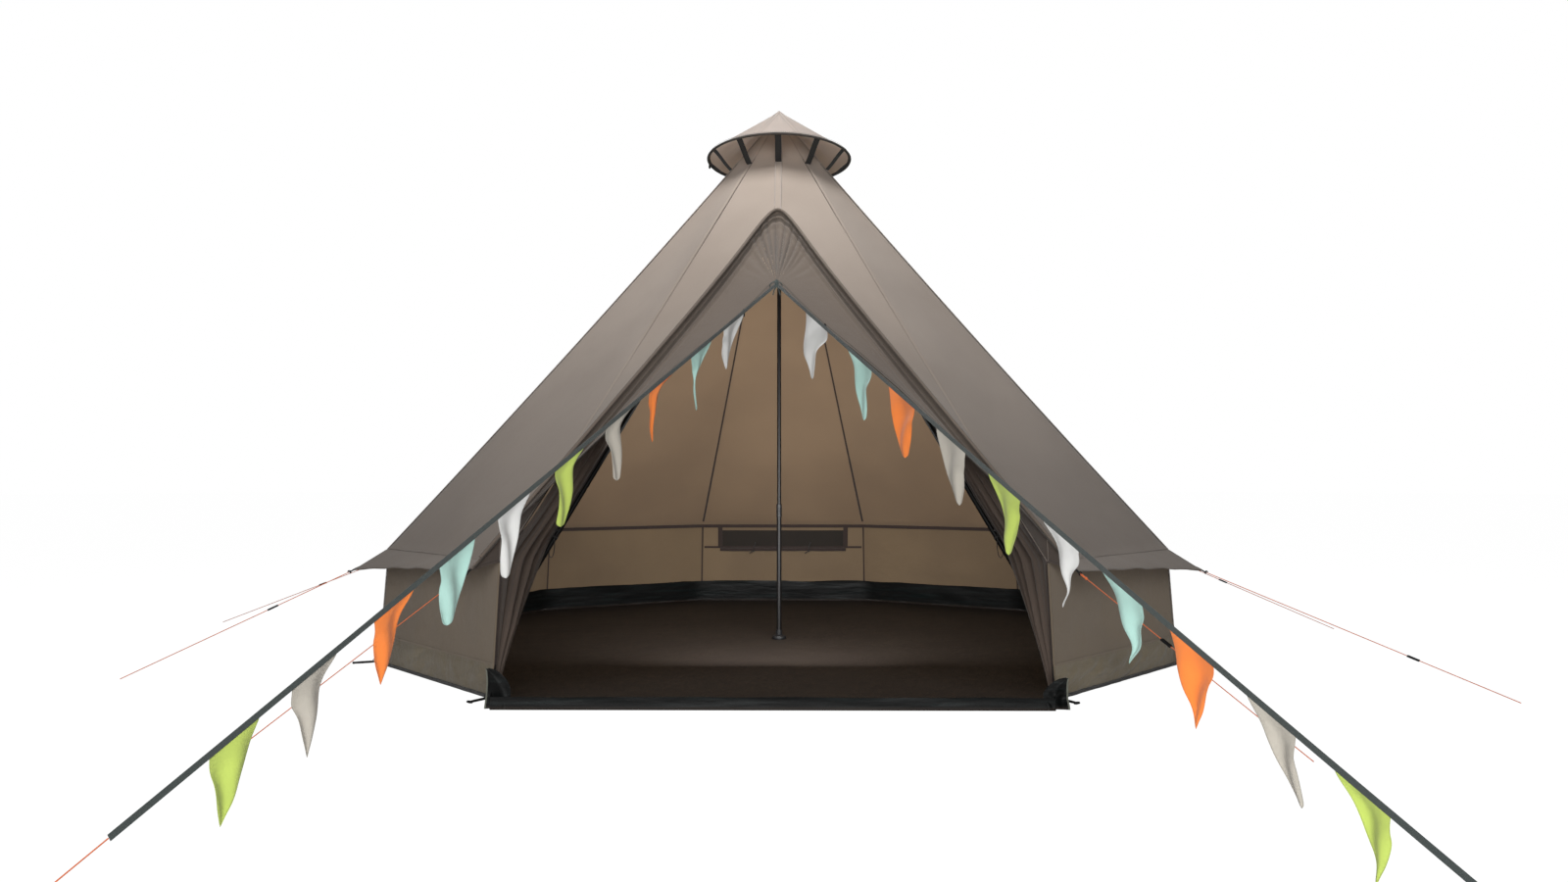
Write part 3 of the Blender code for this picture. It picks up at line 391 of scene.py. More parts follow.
@dataclass(frozen=True)
class MouldedPlastic(Finish):
    """Black moulded plastic with a fine grain."""

    colour: Colour
    roughness: float = 0.46

    def paint(self, shader: Shader) -> None:
        """Lay the finish on its material's tree.

        Args:
            shader: the material's tree.
        """
        place = shader.place(Coordinates.OBJECT)
        grain = shader.noise(place, 1500.0, 2.0)
        dust = shader.noise(place, 60.0, 4.0).ramp(0.55, 0.8)
        pale = linear(tuple(min(255, c * 2) for c in self.colour))
        shader.set(
            Base_Color=shader.tint(dust * 0.25, linear(self.colour), pale),
            Roughness=self.roughness + dust * 0.15,
            Specular_IOR_Level=0.25,
            Normal=shader.bump(grain, 0.0001),
        )


@dataclass(frozen=True)
class BraidedCord(Finish):
    """Braided cord, patterned on its UV map: round its girth and along its length."""

    colour: Colour
    shade: Colour

    def paint(self, shader: Shader) -> None:
        """Lay the finish on its material's tree.

        Args:
            shader: the material's tree.
        """
        flat = shader.place(Coordinates.UV)
        one = shader.ribs(shader.stretch(flat, (1.0, 0.55, 1.0), 0.6), 0.0011, "X")
        two = shader.ribs(shader.stretch(flat, (1.0, 0.55, 1.0), -0.6), 0.0011, "X")
        plait = one * two
        worn = shader.noise(shader.stretch(flat, (1.0, 30.0, 1.0)), 1.0, 2.0)
        colour = shader.tint(plait.ramp(0.05, 0.6), linear(self.shade), linear(self.colour))
        colour = shader.tint(worn.ramp(0.5, 0.9) * 0.3, colour, linear(self.shade))
        shader.set(
            Base_Color=colour, Roughness=0.7 + plait * 0.1, Sheen_Weight=0.2,
            Normal=shader.bump(plait, 0.0004),
        )


@dataclass(frozen=True)
class RibbedTape(Finish):
    """Woven tape or webbing with ribs across it and a selvedge, on its UV map in metres."""

    colour: Colour
    shade: Colour
    pitch: float = 0.0018

    def paint(self, shader: Shader) -> None:
        """Lay the finish on its material's tree.

        Args:
            shader: the material's tree.
        """
        flat = shader.place(Coordinates.UV)
        ribs = shader.ribs(flat, self.pitch, "Y")
        threads = shader.ribs(flat, self.pitch * 0.6, "X")
        fade_and_painted_shade = shader.noise(shader.place(Coordinates.OBJECT), 5.0, 3.0)
        colour = shader.tint(ribs * 0.7 + fade_and_painted_shade * 0.3, linear(self.shade), linear(self.colour))
        shader.set(
            Base_Color=colour, Roughness=0.74 + ribs * 0.08, Sheen_Weight=0.15,
            Normal=shader.bump(ribs * 0.8 + threads * 0.2, 0.0005),
        )


@dataclass(frozen=True)
class InsectMesh(Finish):
    """Fine dark net, shown as a close grid of threads."""

    colour: Colour
    shade: Colour
    pitch: float = 0.0024

    def paint(self, shader: Shader) -> None:
        """Lay the finish on its material's tree.

        Args:
            shader: the material's tree.
        """
        flat = shader.place(Coordinates.UV)
        across = shader.ribs(flat, self.pitch, "X")
        grid = across.apply("MAXIMUM", across, shader.ribs(flat, self.pitch, "Y"))
        soft = shader.noise(shader.place(Coordinates.OBJECT), 7.0, 3.0)
        colour = shader.tint(grid.ramp(0.3, 0.8), linear(self.shade), linear(self.colour))
        colour = shader.tint(soft.ramp(0.4, 0.7) * 0.35, colour, linear(self.shade))
        shader.set(Base_Color=colour, Roughness=0.8 + grid * 0.1, Normal=shader.bump(grid, 0.0006))


class Finishes:
    """Every material of the tent, each made once."""

    def __init__(self) -> None:
        """Make every material."""
        # The roof's darkening towards the ground is painted shade.
        self.roof = WovenCloth("roof_outer", (155, 142, 131), (145, 132, 121), fade_and_painted_shade=0.36, through=0.14).make()
        self.lining = WovenCloth("roof_inner", (156, 130, 102), (145, 120, 94), seam=0.0, through=0.30).make()
        # The hood cloth is darker than the roof: partly its own tone, partly painted shade for its recess under the
        # roof's edge.
        self.hood = WovenCloth("hood_outer", (96, 85, 75), (88, 77, 68), crumple=0.005).make()
        self.wall = WovenCloth("wall_outer", (118, 104, 86), (108, 95, 79), crumple=0.006).make()
        self.flap = WovenCloth("mud_flap", (124, 113, 92), (100, 90, 73), roughness=0.5, crumple=0.016).make()
        self.wall_lining = WovenCloth("wall_inner", (113, 95, 72), (103, 86, 66), crumple=0.008, seam=0.0).make()
        # The door cloth is a darker copy of the wall cloth: painted shade for the door gathered in the shaded front
        # corners.
        self.door = WovenCloth("door_cloth", (80, 67, 58), (70, 59, 51), crumple=0.008).make()
        self.roll = WovenCloth("door_roll", (56, 47, 42), (44, 37, 34), crumple=0.008).make()
        self.hat = WovenCloth("hat_outer", (168, 159, 153), (158, 149, 143), through=0.35).make()
        # The hat's lining is paler and warmer than its outside: painted light for the glow through the cloth, on top
        # of its real translucency.
        self.hat_lining = WovenCloth("hat_inner", (236, 196, 150), (224, 184, 140), seam=0.0, through=0.6).make()
        # The groundsheet's third colour, a pale teal, is painted sheen on its tub walls.
        self.sheet = CoatedSheet("groundsheet_coated", (33, 27, 23), (3, 4, 4), (13, 20, 20)).make()
        self.tube = PaintedTube("pole_black", (6, 5, 5), (20, 19, 18)).make()
        self.plastic = MouldedPlastic("plastic_black", (18, 18, 19)).make()
        self.cord = BraidedCord("cord_orange", (245, 125, 55), (205, 92, 38)).make()
        self.tape = RibbedTape("tape_green_grey", (66, 76, 74), (44, 52, 51)).make()
        self.binding = RibbedTape("binding_dark", (62, 55, 47), (40, 35, 30)).make()
        self.piping = RibbedTape("binding_pale", (118, 120, 108), (92, 94, 84)).make()
        self.seam_tape = RibbedTape("seam_tape_brown", (52, 36, 30), (34, 24, 20)).make()
        self.strap = RibbedTape("strap_black", (34, 32, 30), (18, 17, 16)).make()
        self.net = InsectMesh("insect_net", (38, 31, 25), (27, 23, 18)).make()
        plain = {"white": (226, 226, 223), "aqua": (178, 218, 208), "orange": (250, 135, 55),
                 "sand": (187, 181, 169), "lime": (186, 206, 96)}
        self.pennants = {
            name: WovenCloth("pennant_" + name, colour, tuple(int(c * 0.96) for c in colour),
                             weave=0.0012, crumple=0.002, seam=0.2).make()
            for name, colour in plain.items()
        }


# ---- meshes ----


def add_object(name: str, data: bpy.types.ID) -> bpy.types.Object:
    """Put an object with some data in the scene."""
    made = bpy.data.objects.new(name, data)
    bpy.context.scene.collection.objects.link(made)
    return made


def settle(bm: bmesh.types.BMesh, name: str) -> bpy.types.Mesh:
    """Turn a mesh in the making into a finished one."""
    mesh = bpy.data.meshes.new(name)
    bm.to_mesh(mesh)
    bm.free()
    return mesh


def evaluate(piece: bpy.types.Object) -> bpy.types.Mesh:
    """Return a plain mesh of a piece as its modifiers make it."""
    graph = bpy.context.evaluated_depsgraph_get()
    graph.update()
    return bpy.data.meshes.new_from_object(piece.evaluated_get(graph))


def mesh_object(name: str, mesh: bpy.types.Mesh, *materials: bpy.types.Material) -> bpy.types.Object:
    """Put a mesh in the scene as a smooth piece.

    Args:
        name: the piece's name.
        mesh: its mesh, in place.
        materials: its material slots.

    Returns:
        The piece.
    """
    for material in materials:
        mesh.materials.append(material)
    mesh.shade_smooth()
    return add_object(name, mesh)


def shell(
    name: str,
    points: np.ndarray,
    thickness: float,
    outer: bpy.types.Material,
    inner: Optional[bpy.types.Material] = None,
    flat: Optional[np.ndarray] = None,
    seam: Optional[np.ndarray] = None,
    wrap: bool = False,
    cap: bool = False,
) -> bpy.types.Object:
    """Make a closed sheet from a grid of points on its outer face.

    Args:
        name: the piece's name.
        points: grid of shape (rows, columns, 3).
        thickness: how far the inner face lies behind, in metres; negative puts it in front.
        outer: material of the outer face and the rims.
        inner: material of the inner face, or None for the same.
        flat: UV places in metres, one more column than points where it wraps, or None for arc lengths.
        seam: distance to the nearest seam at each point, or None for far.
        wrap: join the last column to the first.
        cap: close the first row with a face on each side.

    Returns:
        The piece.
    """
    rows, columns = points.shape[:2]
    along = np.roll(points, -1, 1) - np.roll(points, 1, 1) if wrap else np.gradient(points, axis=1)
    down = np.gradient(points, axis=0)
    normals = np.cross(along, down)
    normals /= np.maximum(np.linalg.norm(normals, axis=2, keepdims=True), 1e-12)
    back = points - normals * thickness
    verts = np.concatenate([points.reshape(-1, 3), back.reshape(-1, 3)])
    count = rows * columns
    if flat is None:
        whole = np.concatenate([points, points[:, :1]], 1) if wrap else points
        across = np.concatenate(
            [np.zeros((rows, 1)), np.cumsum(np.linalg.norm(np.diff(whole, axis=1), axis=2), 1)], 1
        )
        fall = np.concatenate(
            [np.zeros((1, whole.shape[1])), np.cumsum(np.linalg.norm(np.diff(whole, axis=0), axis=2), 0)]
        )
        flat = np.stack([across, fall], 2)
    faces: list[tuple[int, ...]] = []
    places: list[np.ndarray] = []
    kinds: list[int] = []
    wide = columns if wrap else columns - 1
    for i in range(rows - 1):
        for j in range(wide):
            k = (j + 1) % columns
            corners = (i * columns + j, i * columns + k, (i + 1) * columns + k, (i + 1) * columns + j)
            spots = (flat[i, j], flat[i, j + 1], flat[i + 1, j + 1], flat[i + 1, j])
            faces += [corners, tuple(c + count for c in reversed(corners))]
            places += [*spots, *reversed(spots)]
            kinds += [0, 1]

    def rim(chain: list[tuple[int, int]]) -> None:
        """Close the gap between both faces along a chain of grid places.

        Args:
            chain: rows and columns, in order.
        """
        for (i, j), (p, q) in zip(chain, chain[1:]):
            a, b = i * columns + j % columns, p * columns + q % columns
            faces.append((a, a + count, b + count, b))
            places.extend((flat[i, j], flat[i, j], flat[p, q], flat[p, q]))
            kinds.append(0)

    edge = columns if wrap else columns - 1
    if cap:
        faces.append(tuple(reversed(range(columns))))
        faces.append(tuple(range(count, count + columns)))
        places.extend([*[flat[0, j] for j in reversed(range(columns))], *[flat[0, j] for j in range(columns)]])
        kinds += [0, 1]
    else:
        rim([(0, j) for j in range(edge + 1)])
    rim([(rows - 1, j) for j in reversed(range(edge + 1))])
    if not wrap:
        rim([(i, 0) for i in reversed(range(rows))])
        rim([(i, columns - 1) for i in range(rows)])
    mesh = bpy.data.meshes.new(name)
    mesh.from_pydata(verts.tolist(), [], faces)
    mesh.polygons.foreach_set("material_index", kinds)
    uv = mesh.uv_layers.new(name="cloth")
    uv.data.foreach_set("uv", np.array(places, np.float32).ravel())
    distance = np.full(count, 1.0) if seam is None else seam.ravel()
    held = mesh.attributes.new("seam", "FLOAT", "POINT")
    held.data.foreach_set("value", np.concatenate([distance, distance]).astype(np.float32))
    bm = bmesh.new()
    bm.from_mesh(mesh)
    if bm.calc_volume(signed=True) < 0:
        bmesh.ops.reverse_faces(bm, faces=bm.faces)
    bm.to_mesh(mesh)
    bm.free()
    made = mesh_object(name, mesh, outer, inner or outer)
    mesh.set_sharp_from_angle(angle=math.radians(50))
    return made


def arc_lengths(path: Sequence[Vector]) -> list[float]:
    """Return how far along a path each of its points lies.

    Args:
        path: its points.

    Returns:
        One length for each point.
    """
    lengths = [0.0]
    for a, b in zip(path, path[1:]):
        lengths.append(lengths[-1] + (b - a).length)
    return lengths


def round_angles(count: int) -> list[float]:
    """Return so many equal steps of a full turn, from 0."""
    return [2 * math.pi * k / count for k in range(count)]


def circle(
    centre: Vector, radius: float, count: int, across: Vector = Vector((1, 0, 0)), up: Vector = Vector((0, 1, 0))
) -> list[Vector]:
    """Return points round a circle, from its across side towards its up side."""
    return [centre + (across * math.cos(a) + up * math.sin(a)) * radius for a in round_angles(count)]


def tube(
    name: str,
    path: Sequence[Vector],
    radius: Union[float, Sequence[float]],
    material: bpy.types.Material,
    sides: int = 10,
    closed: bool = False,
    squash: float = 1.0,
) -> bpy.types.Object:
    """Make a round piece along a path, with its UV map in metres.

    Args:
        name: the piece's name.
        path: centreline.
        radius: one radius, or one for each point.
        material: its material.
        sides: faces round it.
        closed: join its end to its start.
        squash: share of the radius kept in the second direction across it.

    Returns:
        The piece.
    """
    points = [Vector(p) for p in path]
    count = len(points)
    radii = [radius] * count if isinstance(radius, (int, float)) else list(radius)
    lengths = arc_lengths([*points, points[0]] if closed else points)
    tangents = []
    for k in range(count):
        before = points[k - 1] if k or closed else points[k]
        after = points[(k + 1) % count] if k < count - 1 or closed else points[k]
        tangents.append((after - before).normalized())
    side = tangents[0].orthogonal().normalized()
    if abs(tangents[0].z) < 0.9:
        side = tangents[0].cross(UP).normalized()
    bm = bmesh.new()
    rings = []
    for point, tangent, size in zip(points, tangents, radii):
        side = (side - tangent * side.dot(tangent)).normalized()
        other = tangent.cross(side)
        ring = []
        for angle in round_angles(sides):
            offset = side * math.cos(angle) + other * (math.sin(angle) * squash)
            ring.append(bm.verts.new(point + offset * size))
        rings.append(ring)
    layer = bm.loops.layers.uv.new("cloth")
    girth = 2 * math.pi * max(radii)
    spans = range(count if closed else count - 1)
    for k in spans:
        low, high = rings[k], rings[(k + 1) % count]
        for j in range(sides):
            face = bm.faces.new((low[j], low[(j + 1) % sides], high[(j + 1) % sides], high[j]))
            around = (j, j + 1, j + 1, j)
            far = (lengths[k], lengths[k], lengths[k + 1], lengths[k + 1])
            for loop, turn, reach in zip(face.loops, around, far):
                loop[layer].uv = (girth * turn / sides, reach)
    if not closed:
        bm.faces.new(list(reversed(rings[0])))
        bm.faces.new(rings[-1])
    if bm.calc_volume(signed=True) < 0:
        bmesh.ops.reverse_faces(bm, faces=bm.faces)
    mesh = settle(bm, name)
    made = mesh_object(name, mesh, material)
    mesh.set_sharp_from_angle(angle=math.radians(60))
    return made


def ribbon(
    name: str,
    path: Sequence[Vector],
    normals: Sequence[Vector],
    width: float,
    thickness: float,
    material: bpy.types.Material,
    closed: bool = False,
) -> bpy.types.Object:
    """Make a flat tape along a path, its face turned to the normals.

    Args:
        name: the piece's name.
        path: middle line of its outer face.
        normals: the way its outer face looks, at each point.
        width: its width.
        thickness: its thickness.
        material: its material.
        closed: join its end to its start.

    Returns:
        The piece.
    """
    count = len(path)
    grid = np.zeros((3, count, 3))
    for k, (point, normal) in enumerate(zip(path, normals)):
        before = path[k - 1] if k or closed else path[k]
        after = path[(k + 1) % count] if k < count - 1 or closed else path[k]
        side = (after - before).cross(normal).normalized()
        for row, share in enumerate((-0.5, 0.0, 0.5)):
            grid[row, k] = point + side * (share * width)
    lengths = arc_lengths([*path, path[0]] if closed else path)
    flat = np.zeros((3, len(lengths), 2))
    flat[:, :, 1] = lengths
    flat[:, :, 0] = np.array([0.0, width / 2, width])[:, None]
    return shell(name, grid, thickness, material, flat=flat, wrap=closed)


def join(name: str, pieces: Sequence[bpy.types.Object]) -> bpy.types.Object:
    """Join pieces of the same materials into one mesh.

    Args:
        name: the new piece's name.
        pieces: what to join; they are removed.

    Returns:
        The joined piece.
    """
    bm = bmesh.new()
    materials: list[bpy.types.Material] = []
    for piece in pieces:
        slots = [slot for slot in piece.data.materials]
        for slot in slots:
            if slot not in materials:
                materials.append(slot)
        start = len(bm.faces)
        bm.from_mesh(piece.data)
        bm.faces.ensure_lookup_table()
        for face in bm.faces[start:]:
            face.material_index = materials.index(slots[min(face.material_index, len(slots) - 1)])
        bpy.data.objects.remove(piece)
    mesh = settle(bm, name)
    made = mesh_object(name, mesh, *materials)
    mesh.set_sharp_from_angle(angle=math.radians(55))
    return made


class Repeater:
    """A Geometry Nodes tree that sets copies of one mesh on points or along a line."""

    def __init__(self, name: str) -> None:
        """Start an empty tree with its result socket.

        Args:
            name: the tree's name.
        """
        self.tree = bpy.data.node_groups.new(name, "GeometryNodeTree")
        self.tree.interface.new_socket("Geometry", in_out="OUTPUT", socket_type="NodeSocketGeometry")
        self.sockets: dict[str, str] = {}
        self.entry = self.tree.nodes.new("NodeGroupInput")
        self.exit = self.tree.nodes.new("NodeGroupOutput")

    def ask(self, name: str, kind: str) -> None:
        """Add a named input of a kind, such as Float or Object."""
        made = self.tree.interface.new_socket(name, in_out="INPUT", socket_type="NodeSocket" + kind)
        self.sockets[name] = made.identifier

    def given(self, name: str) -> bpy.types.NodeSocket:
        """Return a named input's socket inside the tree."""
        return next(s for s in self.entry.outputs if s.identifier == self.sockets[name])

    def node(self, kind: str, settings: Optional[dict] = None, inputs: Optional[dict] = None) -> bpy.types.Node:
        """Add a node with its settings and its inputs, values or sockets.

        Args:
            kind: the node's type.
            settings: its own settings.
            inputs: values or sockets, by name or number.

        Returns:
            The node.
        """
        made = self.tree.nodes.new(kind)
        for key, value in (settings or {}).items():
            setattr(made, key, value)
        for key, value in (inputs or {}).items():
            if isinstance(value, bpy.types.NodeSocket):
                self.tree.links.new(value, made.inputs[key])
            else:
                made.inputs[key].default_value = value
        return made

    def maths(self, operation: str, *values: Union[bpy.types.NodeSocket, float]) -> bpy.types.NodeSocket:
        """Add a Math node and return its result."""
        return self.node("ShaderNodeMath", {"operation": operation}, dict(enumerate(values))).outputs[0]

    def finish(self, geometry: bpy.types.NodeSocket, material: bpy.types.NodeSocket) -> None:
        """End the tree in Realize Instances and Set Material."""
        real = self.node("GeometryNodeRealizeInstances", inputs={0: geometry})
        dressed = self.node("GeometryNodeSetMaterial", inputs={"Geometry": real.outputs[0], "Material": material})
        self.tree.links.new(dressed.outputs[0], self.exit.inputs[0])

    def build(self, name: str, values: dict) -> bpy.types.Object:
        """Run the tree once.

        Args:
            name: the new piece's name.
            values: its named inputs.

        Returns:
            A plain mesh piece with the tree's result.
        """
        holder = add_object(name, bpy.data.meshes.new(name))
        modifier = holder.modifiers.new("repeat", "NODES")
        modifier.node_group = self.tree
        for key, value in values.items():
            modifier[self.sockets[key]] = value
        mesh = evaluate(holder)
        bpy.data.objects.remove(holder)
        return add_object(name, mesh)


class StitchRow(Repeater):
    """Short stitches set along a line at a pitch."""

    def __init__(self) -> None:
        """Set a stitch on each point of the line, resampled at the pitch."""
        super().__init__("stitch_row")
        for name in ("Pitch", "Length", "Width"):
            self.ask(name, "Float")
        self.ask("Line", "Object")
        self.ask("Thread", "Material")
        line = self.node("GeometryNodeObjectInfo", inputs={"Object": self.given("Line")})
        spaced = self.node(
            "GeometryNodeResampleCurve", {"mode": "LENGTH"},
            {"Curve": line.outputs["Geometry"], "Length": self.given("Pitch")},
        )
        tangent = self.node("GeometryNodeInputTangent")
        turn = self.node("FunctionNodeAlignRotationToVector", {"axis": "Z"}, {"Vector": tangent.outputs[0]})
        inputs = {
            "Vertices": 6, "Radius": self.maths("MULTIPLY", self.given("Width"), 0.5), "Depth": self.given("Length")
        }
        stitch = self.node("GeometryNodeMeshCylinder", inputs=inputs)
        copies = self.node(
            "GeometryNodeInstanceOnPoints",
            inputs={"Points": spaced.outputs[0], "Instance": stitch.outputs["Mesh"], "Rotation": turn.outputs[0]},
        )
        self.finish(copies.outputs[0], self.given("Thread"))

    def along(
        self, name: str, path: Sequence[Vector], pitch: float, material: bpy.types.Material, closed: bool = False
    ) -> bpy.types.Object:
        """Sew a row of stitches along a path.

        Args:
            name: the new piece's name.
            path: the line it follows.
            pitch: from stitch to stitch.
            material: the thread's material.
            closed: whether the line closes on itself.

        Returns:
            The piece.
        """
        curve = bpy.data.curves.new(name + "_line", "CURVE")
        curve.dimensions = "3D"
        spline = curve.splines.new("POLY")
        spline.points.add(len(path) - 1)
        for spot, point in zip(spline.points, path):
            spot.co = (*point, 1)
        spline.use_cyclic_u = closed
        line = add_object(name + "_line", curve)
        values = {"Line": line, "Pitch": pitch, "Length": pitch * 0.62, "Width": 0.0014, "Thread": material}
        made = self.build(name, values)
        bpy.data.objects.remove(line)
        return made


class StrapRing(Repeater):
    """Straps in a ring about Z, each from a hoop down and in to the roof."""

    def __init__(self) -> None:
        """Set a leaning strap on each point of a ring."""
        super().__init__("strap_ring")
        for name in ("First Turn", "Reach", "Drop", "Lean", "Width", "Thickness", "Length"):
            self.ask(name, "Float")
        self.ask("Count", "Int")
        self.ask("Strap", "Material")
        size = self.node(
            "ShaderNodeCombineXYZ",
            inputs={0: self.given("Thickness"), 1: self.given("Width"), 2: self.given("Length")},
        )
        strap = self.node(
            "GeometryNodeMeshCube",
            inputs={"Size": size.outputs[0], "Vertices X": 2, "Vertices Y": 4, "Vertices Z": 8},
        )
        points = self.node("GeometryNodePoints", inputs={"Count": self.given("Count")})
        index = self.node("GeometryNodeInputIndex")
        step = self.maths("DIVIDE", 2 * math.pi, self.given("Count"))
        turned = self.maths("MULTIPLY_ADD", index.outputs[0], step, self.given("First Turn"))
        across = self.maths("MULTIPLY", self.maths("COSINE", turned), self.given("Reach"))
        along = self.maths("MULTIPLY", self.maths("SINE", turned), self.given("Reach"))
        spot = self.node("ShaderNodeCombineXYZ", inputs={0: across, 1: along, 2: self.given("Drop")})
        placed = self.node(
            "GeometryNodeSetPosition", inputs={"Geometry": points.outputs[0], "Position": spot.outputs[0]}
        )
        angles = self.node("ShaderNodeCombineXYZ", inputs={0: 0.0, 1: self.given("Lean"), 2: turned})
        turn = self.node("FunctionNodeEulerToRotation", inputs={0: angles.outputs[0]})
        copies = self.node(
            "GeometryNodeInstanceOnPoints",
            inputs={"Points": placed.outputs[0], "Instance": strap.outputs["Mesh"], "Rotation": turn.outputs[0]},
        )
        self.finish(copies.outputs[0], self.given("Strap"))


# ---- the tent ----


@dataclass(frozen=True)
class Outline:
    """Plan and slopes that all the cloth shares."""

    sides: int = 11
    crown_radius: float = 0.050
    crown_height: float = 2.585
    wall_top_radius: float = 1.865
    wall_height: float = 0.500
    wall_foot_radius: float = 1.900
    eave_radius: float = 2.012
    eave_height: float = 0.408
    front_eave_height: float = 0.475
    ridge_dip: float = 0.020
    gore_dip: float = 0.014
    eave_scallop: float = 0.022
    hood_apex_radius: float = 0.505
    hood_depth: float = 0.400
    hood_wall_share: float = 0.92
    hood_tip_share: float = 0.985
    hood_round: float = 0.06
    hood_shares: tuple[tuple[float, float], ...] = (
        (0.00, 1.00), (0.06, 1.012), (0.12, 0.915), (0.31, 0.597), (0.46, 0.403),
        (0.605, 0.27), (0.76, 0.135), (0.87, 0.06), (1.00, 0.03),
    )

    @property
    def panel(self) -> float:
        """Angle of one wall panel."""
        return 2 * math.pi / self.sides

    def plan(self, turn: float, radius: float) -> Vector:
        """Return the outline's point at a turn, for the radius of its corners."""
        low = math.floor(turn - 0.5) + 0.5
        ends = [Vector((math.sin(t * self.panel), math.cos(t * self.panel), 0)) for t in (low, low + 1)]
        return mix(ends[0], ends[1], turn - low) * radius

    def ridge_height(self, radius: float) -> float:
        """Return the height of the roof's outer face on a ridge."""
        share = (radius - self.crown_radius) / (self.wall_top_radius - self.crown_radius)
        return mix(self.crown_height, self.wall_height, share) - self.ridge_dip * 4 * share * (1 - share)

    def eave_lip(self, turn: float) -> float:
        """Return the height of the eave's lip, higher at the two front corners."""
        low = math.floor(turn - 0.5) + 0.5
        ends = [self.front_eave_height if abs(low + k) > 4 else self.eave_height for k in (0, 1)]
        return mix(ends[0], ends[1], turn - low)

    @property
    def hood_run(self) -> float:
        """Run of the hood's apex down the front ridge."""
        return (self.hood_apex_radius - self.crown_radius) / (self.wall_top_radius - self.crown_radius)

    @property
    def hood_apex(self) -> Vector:
        """Outer point of the front ridge where the hood begins."""
        return Vector((0, -self.hood_apex_radius, self.ridge_height(self.hood_apex_radius)))

    @property
    def front_peak(self) -> Vector:
        """Lip of the eave at the right front corner."""
        peak = self.plan(FRONT_TURN, self.eave_radius)
        return Vector((peak.x, peak.y, self.front_eave_height))

    @property
    def hood_slope(self) -> float:
        """Rise over run of the hood's plane."""
        apex, peak = self.hood_apex, self.front_peak
        return (apex.z - peak.z) / (apex.y - peak.y)

    @property
    def hood_normal(self) -> Vector:
        """Outward normal of the hood's plane."""
        return Vector((0, -self.hood_slope, 1)).normalized()

    def hood_point(self, across: float, fall: float) -> Vector:
        """Return a point of the hood's plane, round at the apex.

        Args:
            across: place across the hood, -1 to 1.
            fall: distance below the ridge.

        Returns:
            The point.
        """
        apex, peak = self.hood_apex, self.front_peak
        down = abs(across) * (1 - math.exp(-abs(across) / self.hood_round))
        height = mix(apex.z, peak.z, down) - fall
        return Vector((across * peak.x, apex.y + (height - apex.z) / self.hood_slope, height))

    def hood_fall(self, across: float) -> float:
        """Return how deep the hood hangs below its ridge."""
        places, shares = zip(*self.hood_shares)
        near = [abs(across) + 0.015 * k * min(1, abs(across) / 0.03) for k in (-2, -1, 0, 1, 2)]
        return self.hood_depth * float(np.mean(np.interp(near, places, shares)))

    def roof(self, turn: float, run: float) -> Vector:
        """Return a point of the roof's outer face.

        Args:
            turn: place round the tent, in wall panels.
            run: way down the roof: 0 at the crown, 1 at the wall, 2 at the lip.

        Returns:
            The point.
        """
        if abs(turn) > FRONT_TURN:
            return self.front(math.copysign(1, turn), abs(turn) - FRONT_TURN, run)
        middle = math.sin(math.pi * ((turn - 0.5) % 1))
        if run <= 1:
            radius = mix(self.crown_radius, self.wall_top_radius, run)
            height = self.ridge_height(radius) - self.gore_dip * middle * math.sin(math.pi * run)
        else:
            lip = self.eave_radius - self.eave_scallop * middle
            radius = mix(self.wall_top_radius, lip, run - 1)
            reach = (lip - self.wall_top_radius) / (self.eave_radius - self.wall_top_radius)
            height = mix(self.wall_height, self.eave_lip(turn), (run - 1) * reach)
        point = self.plan(turn, radius)
        point.z = height
        return point

    def front(self, side: float, share: float, run: float) -> Vector:
        """Return a point of a front gore.

        Args:
            side: -1 on the left, 1 on the right.
            share: 0 at its corner ridge, 1 at the door's edge.
            run: way down the roof: 0 at the crown, 1 at the wall, 2 at the lip.

        Returns:
            The point.
        """
        corner = self.roof(FRONT_TURN, run)
        if run <= self.hood_run:
            radius = mix(self.crown_radius, self.wall_top_radius, run)
            edge = Vector((0, -radius, self.ridge_height(radius)))
        elif run <= 1:
            edge = self.hood_point(self.hood_wall_share * (run - self.hood_run) / (1 - self.hood_run), 0)
        else:
            edge = self.hood_point(mix(self.hood_wall_share, self.hood_tip_share, run - 1), 0)
        point = mix(corner, edge, share)
        return Vector((side * point.x, point.y, point.z))

    def wall_radius(self, height: float) -> float:
        """Return the corner radius of the wall's outer face."""
        return mix(self.wall_foot_radius, self.wall_top_radius, height / self.wall_height)

    def outward(self, turn: float) -> Vector:
        """Return the level direction out from the middle at a turn."""
        return self.plan(turn, 1).normalized()


def mount(piece: bpy.types.Object, body: str, slot: str, *nodes: str) -> bpy.types.Object:
    """Let a piece ride on a body and stand for CAD nodes.

    Args:
        piece: the piece.
        body: the body it rides on.
        slot: not used.
        nodes: CAD nodes that it stands for, if any.

    Returns:
        The same piece.
    """
    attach(piece, body)
    if nodes:
        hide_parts(*nodes)
    return piece


def lay_cord(path: Sequence[Vector]) -> float:
    """Measure a cord along a path.

    Args:
        path: its centreline.

    Returns:
        Its length.
    """
    length = arc_lengths(path)[-1]
    return length


@dataclass
class Tent:
    """What every sub-assembly shares."""

    outline: Outline
    finishes: Finishes
    stitches: StitchRow
    body: str = "tent"


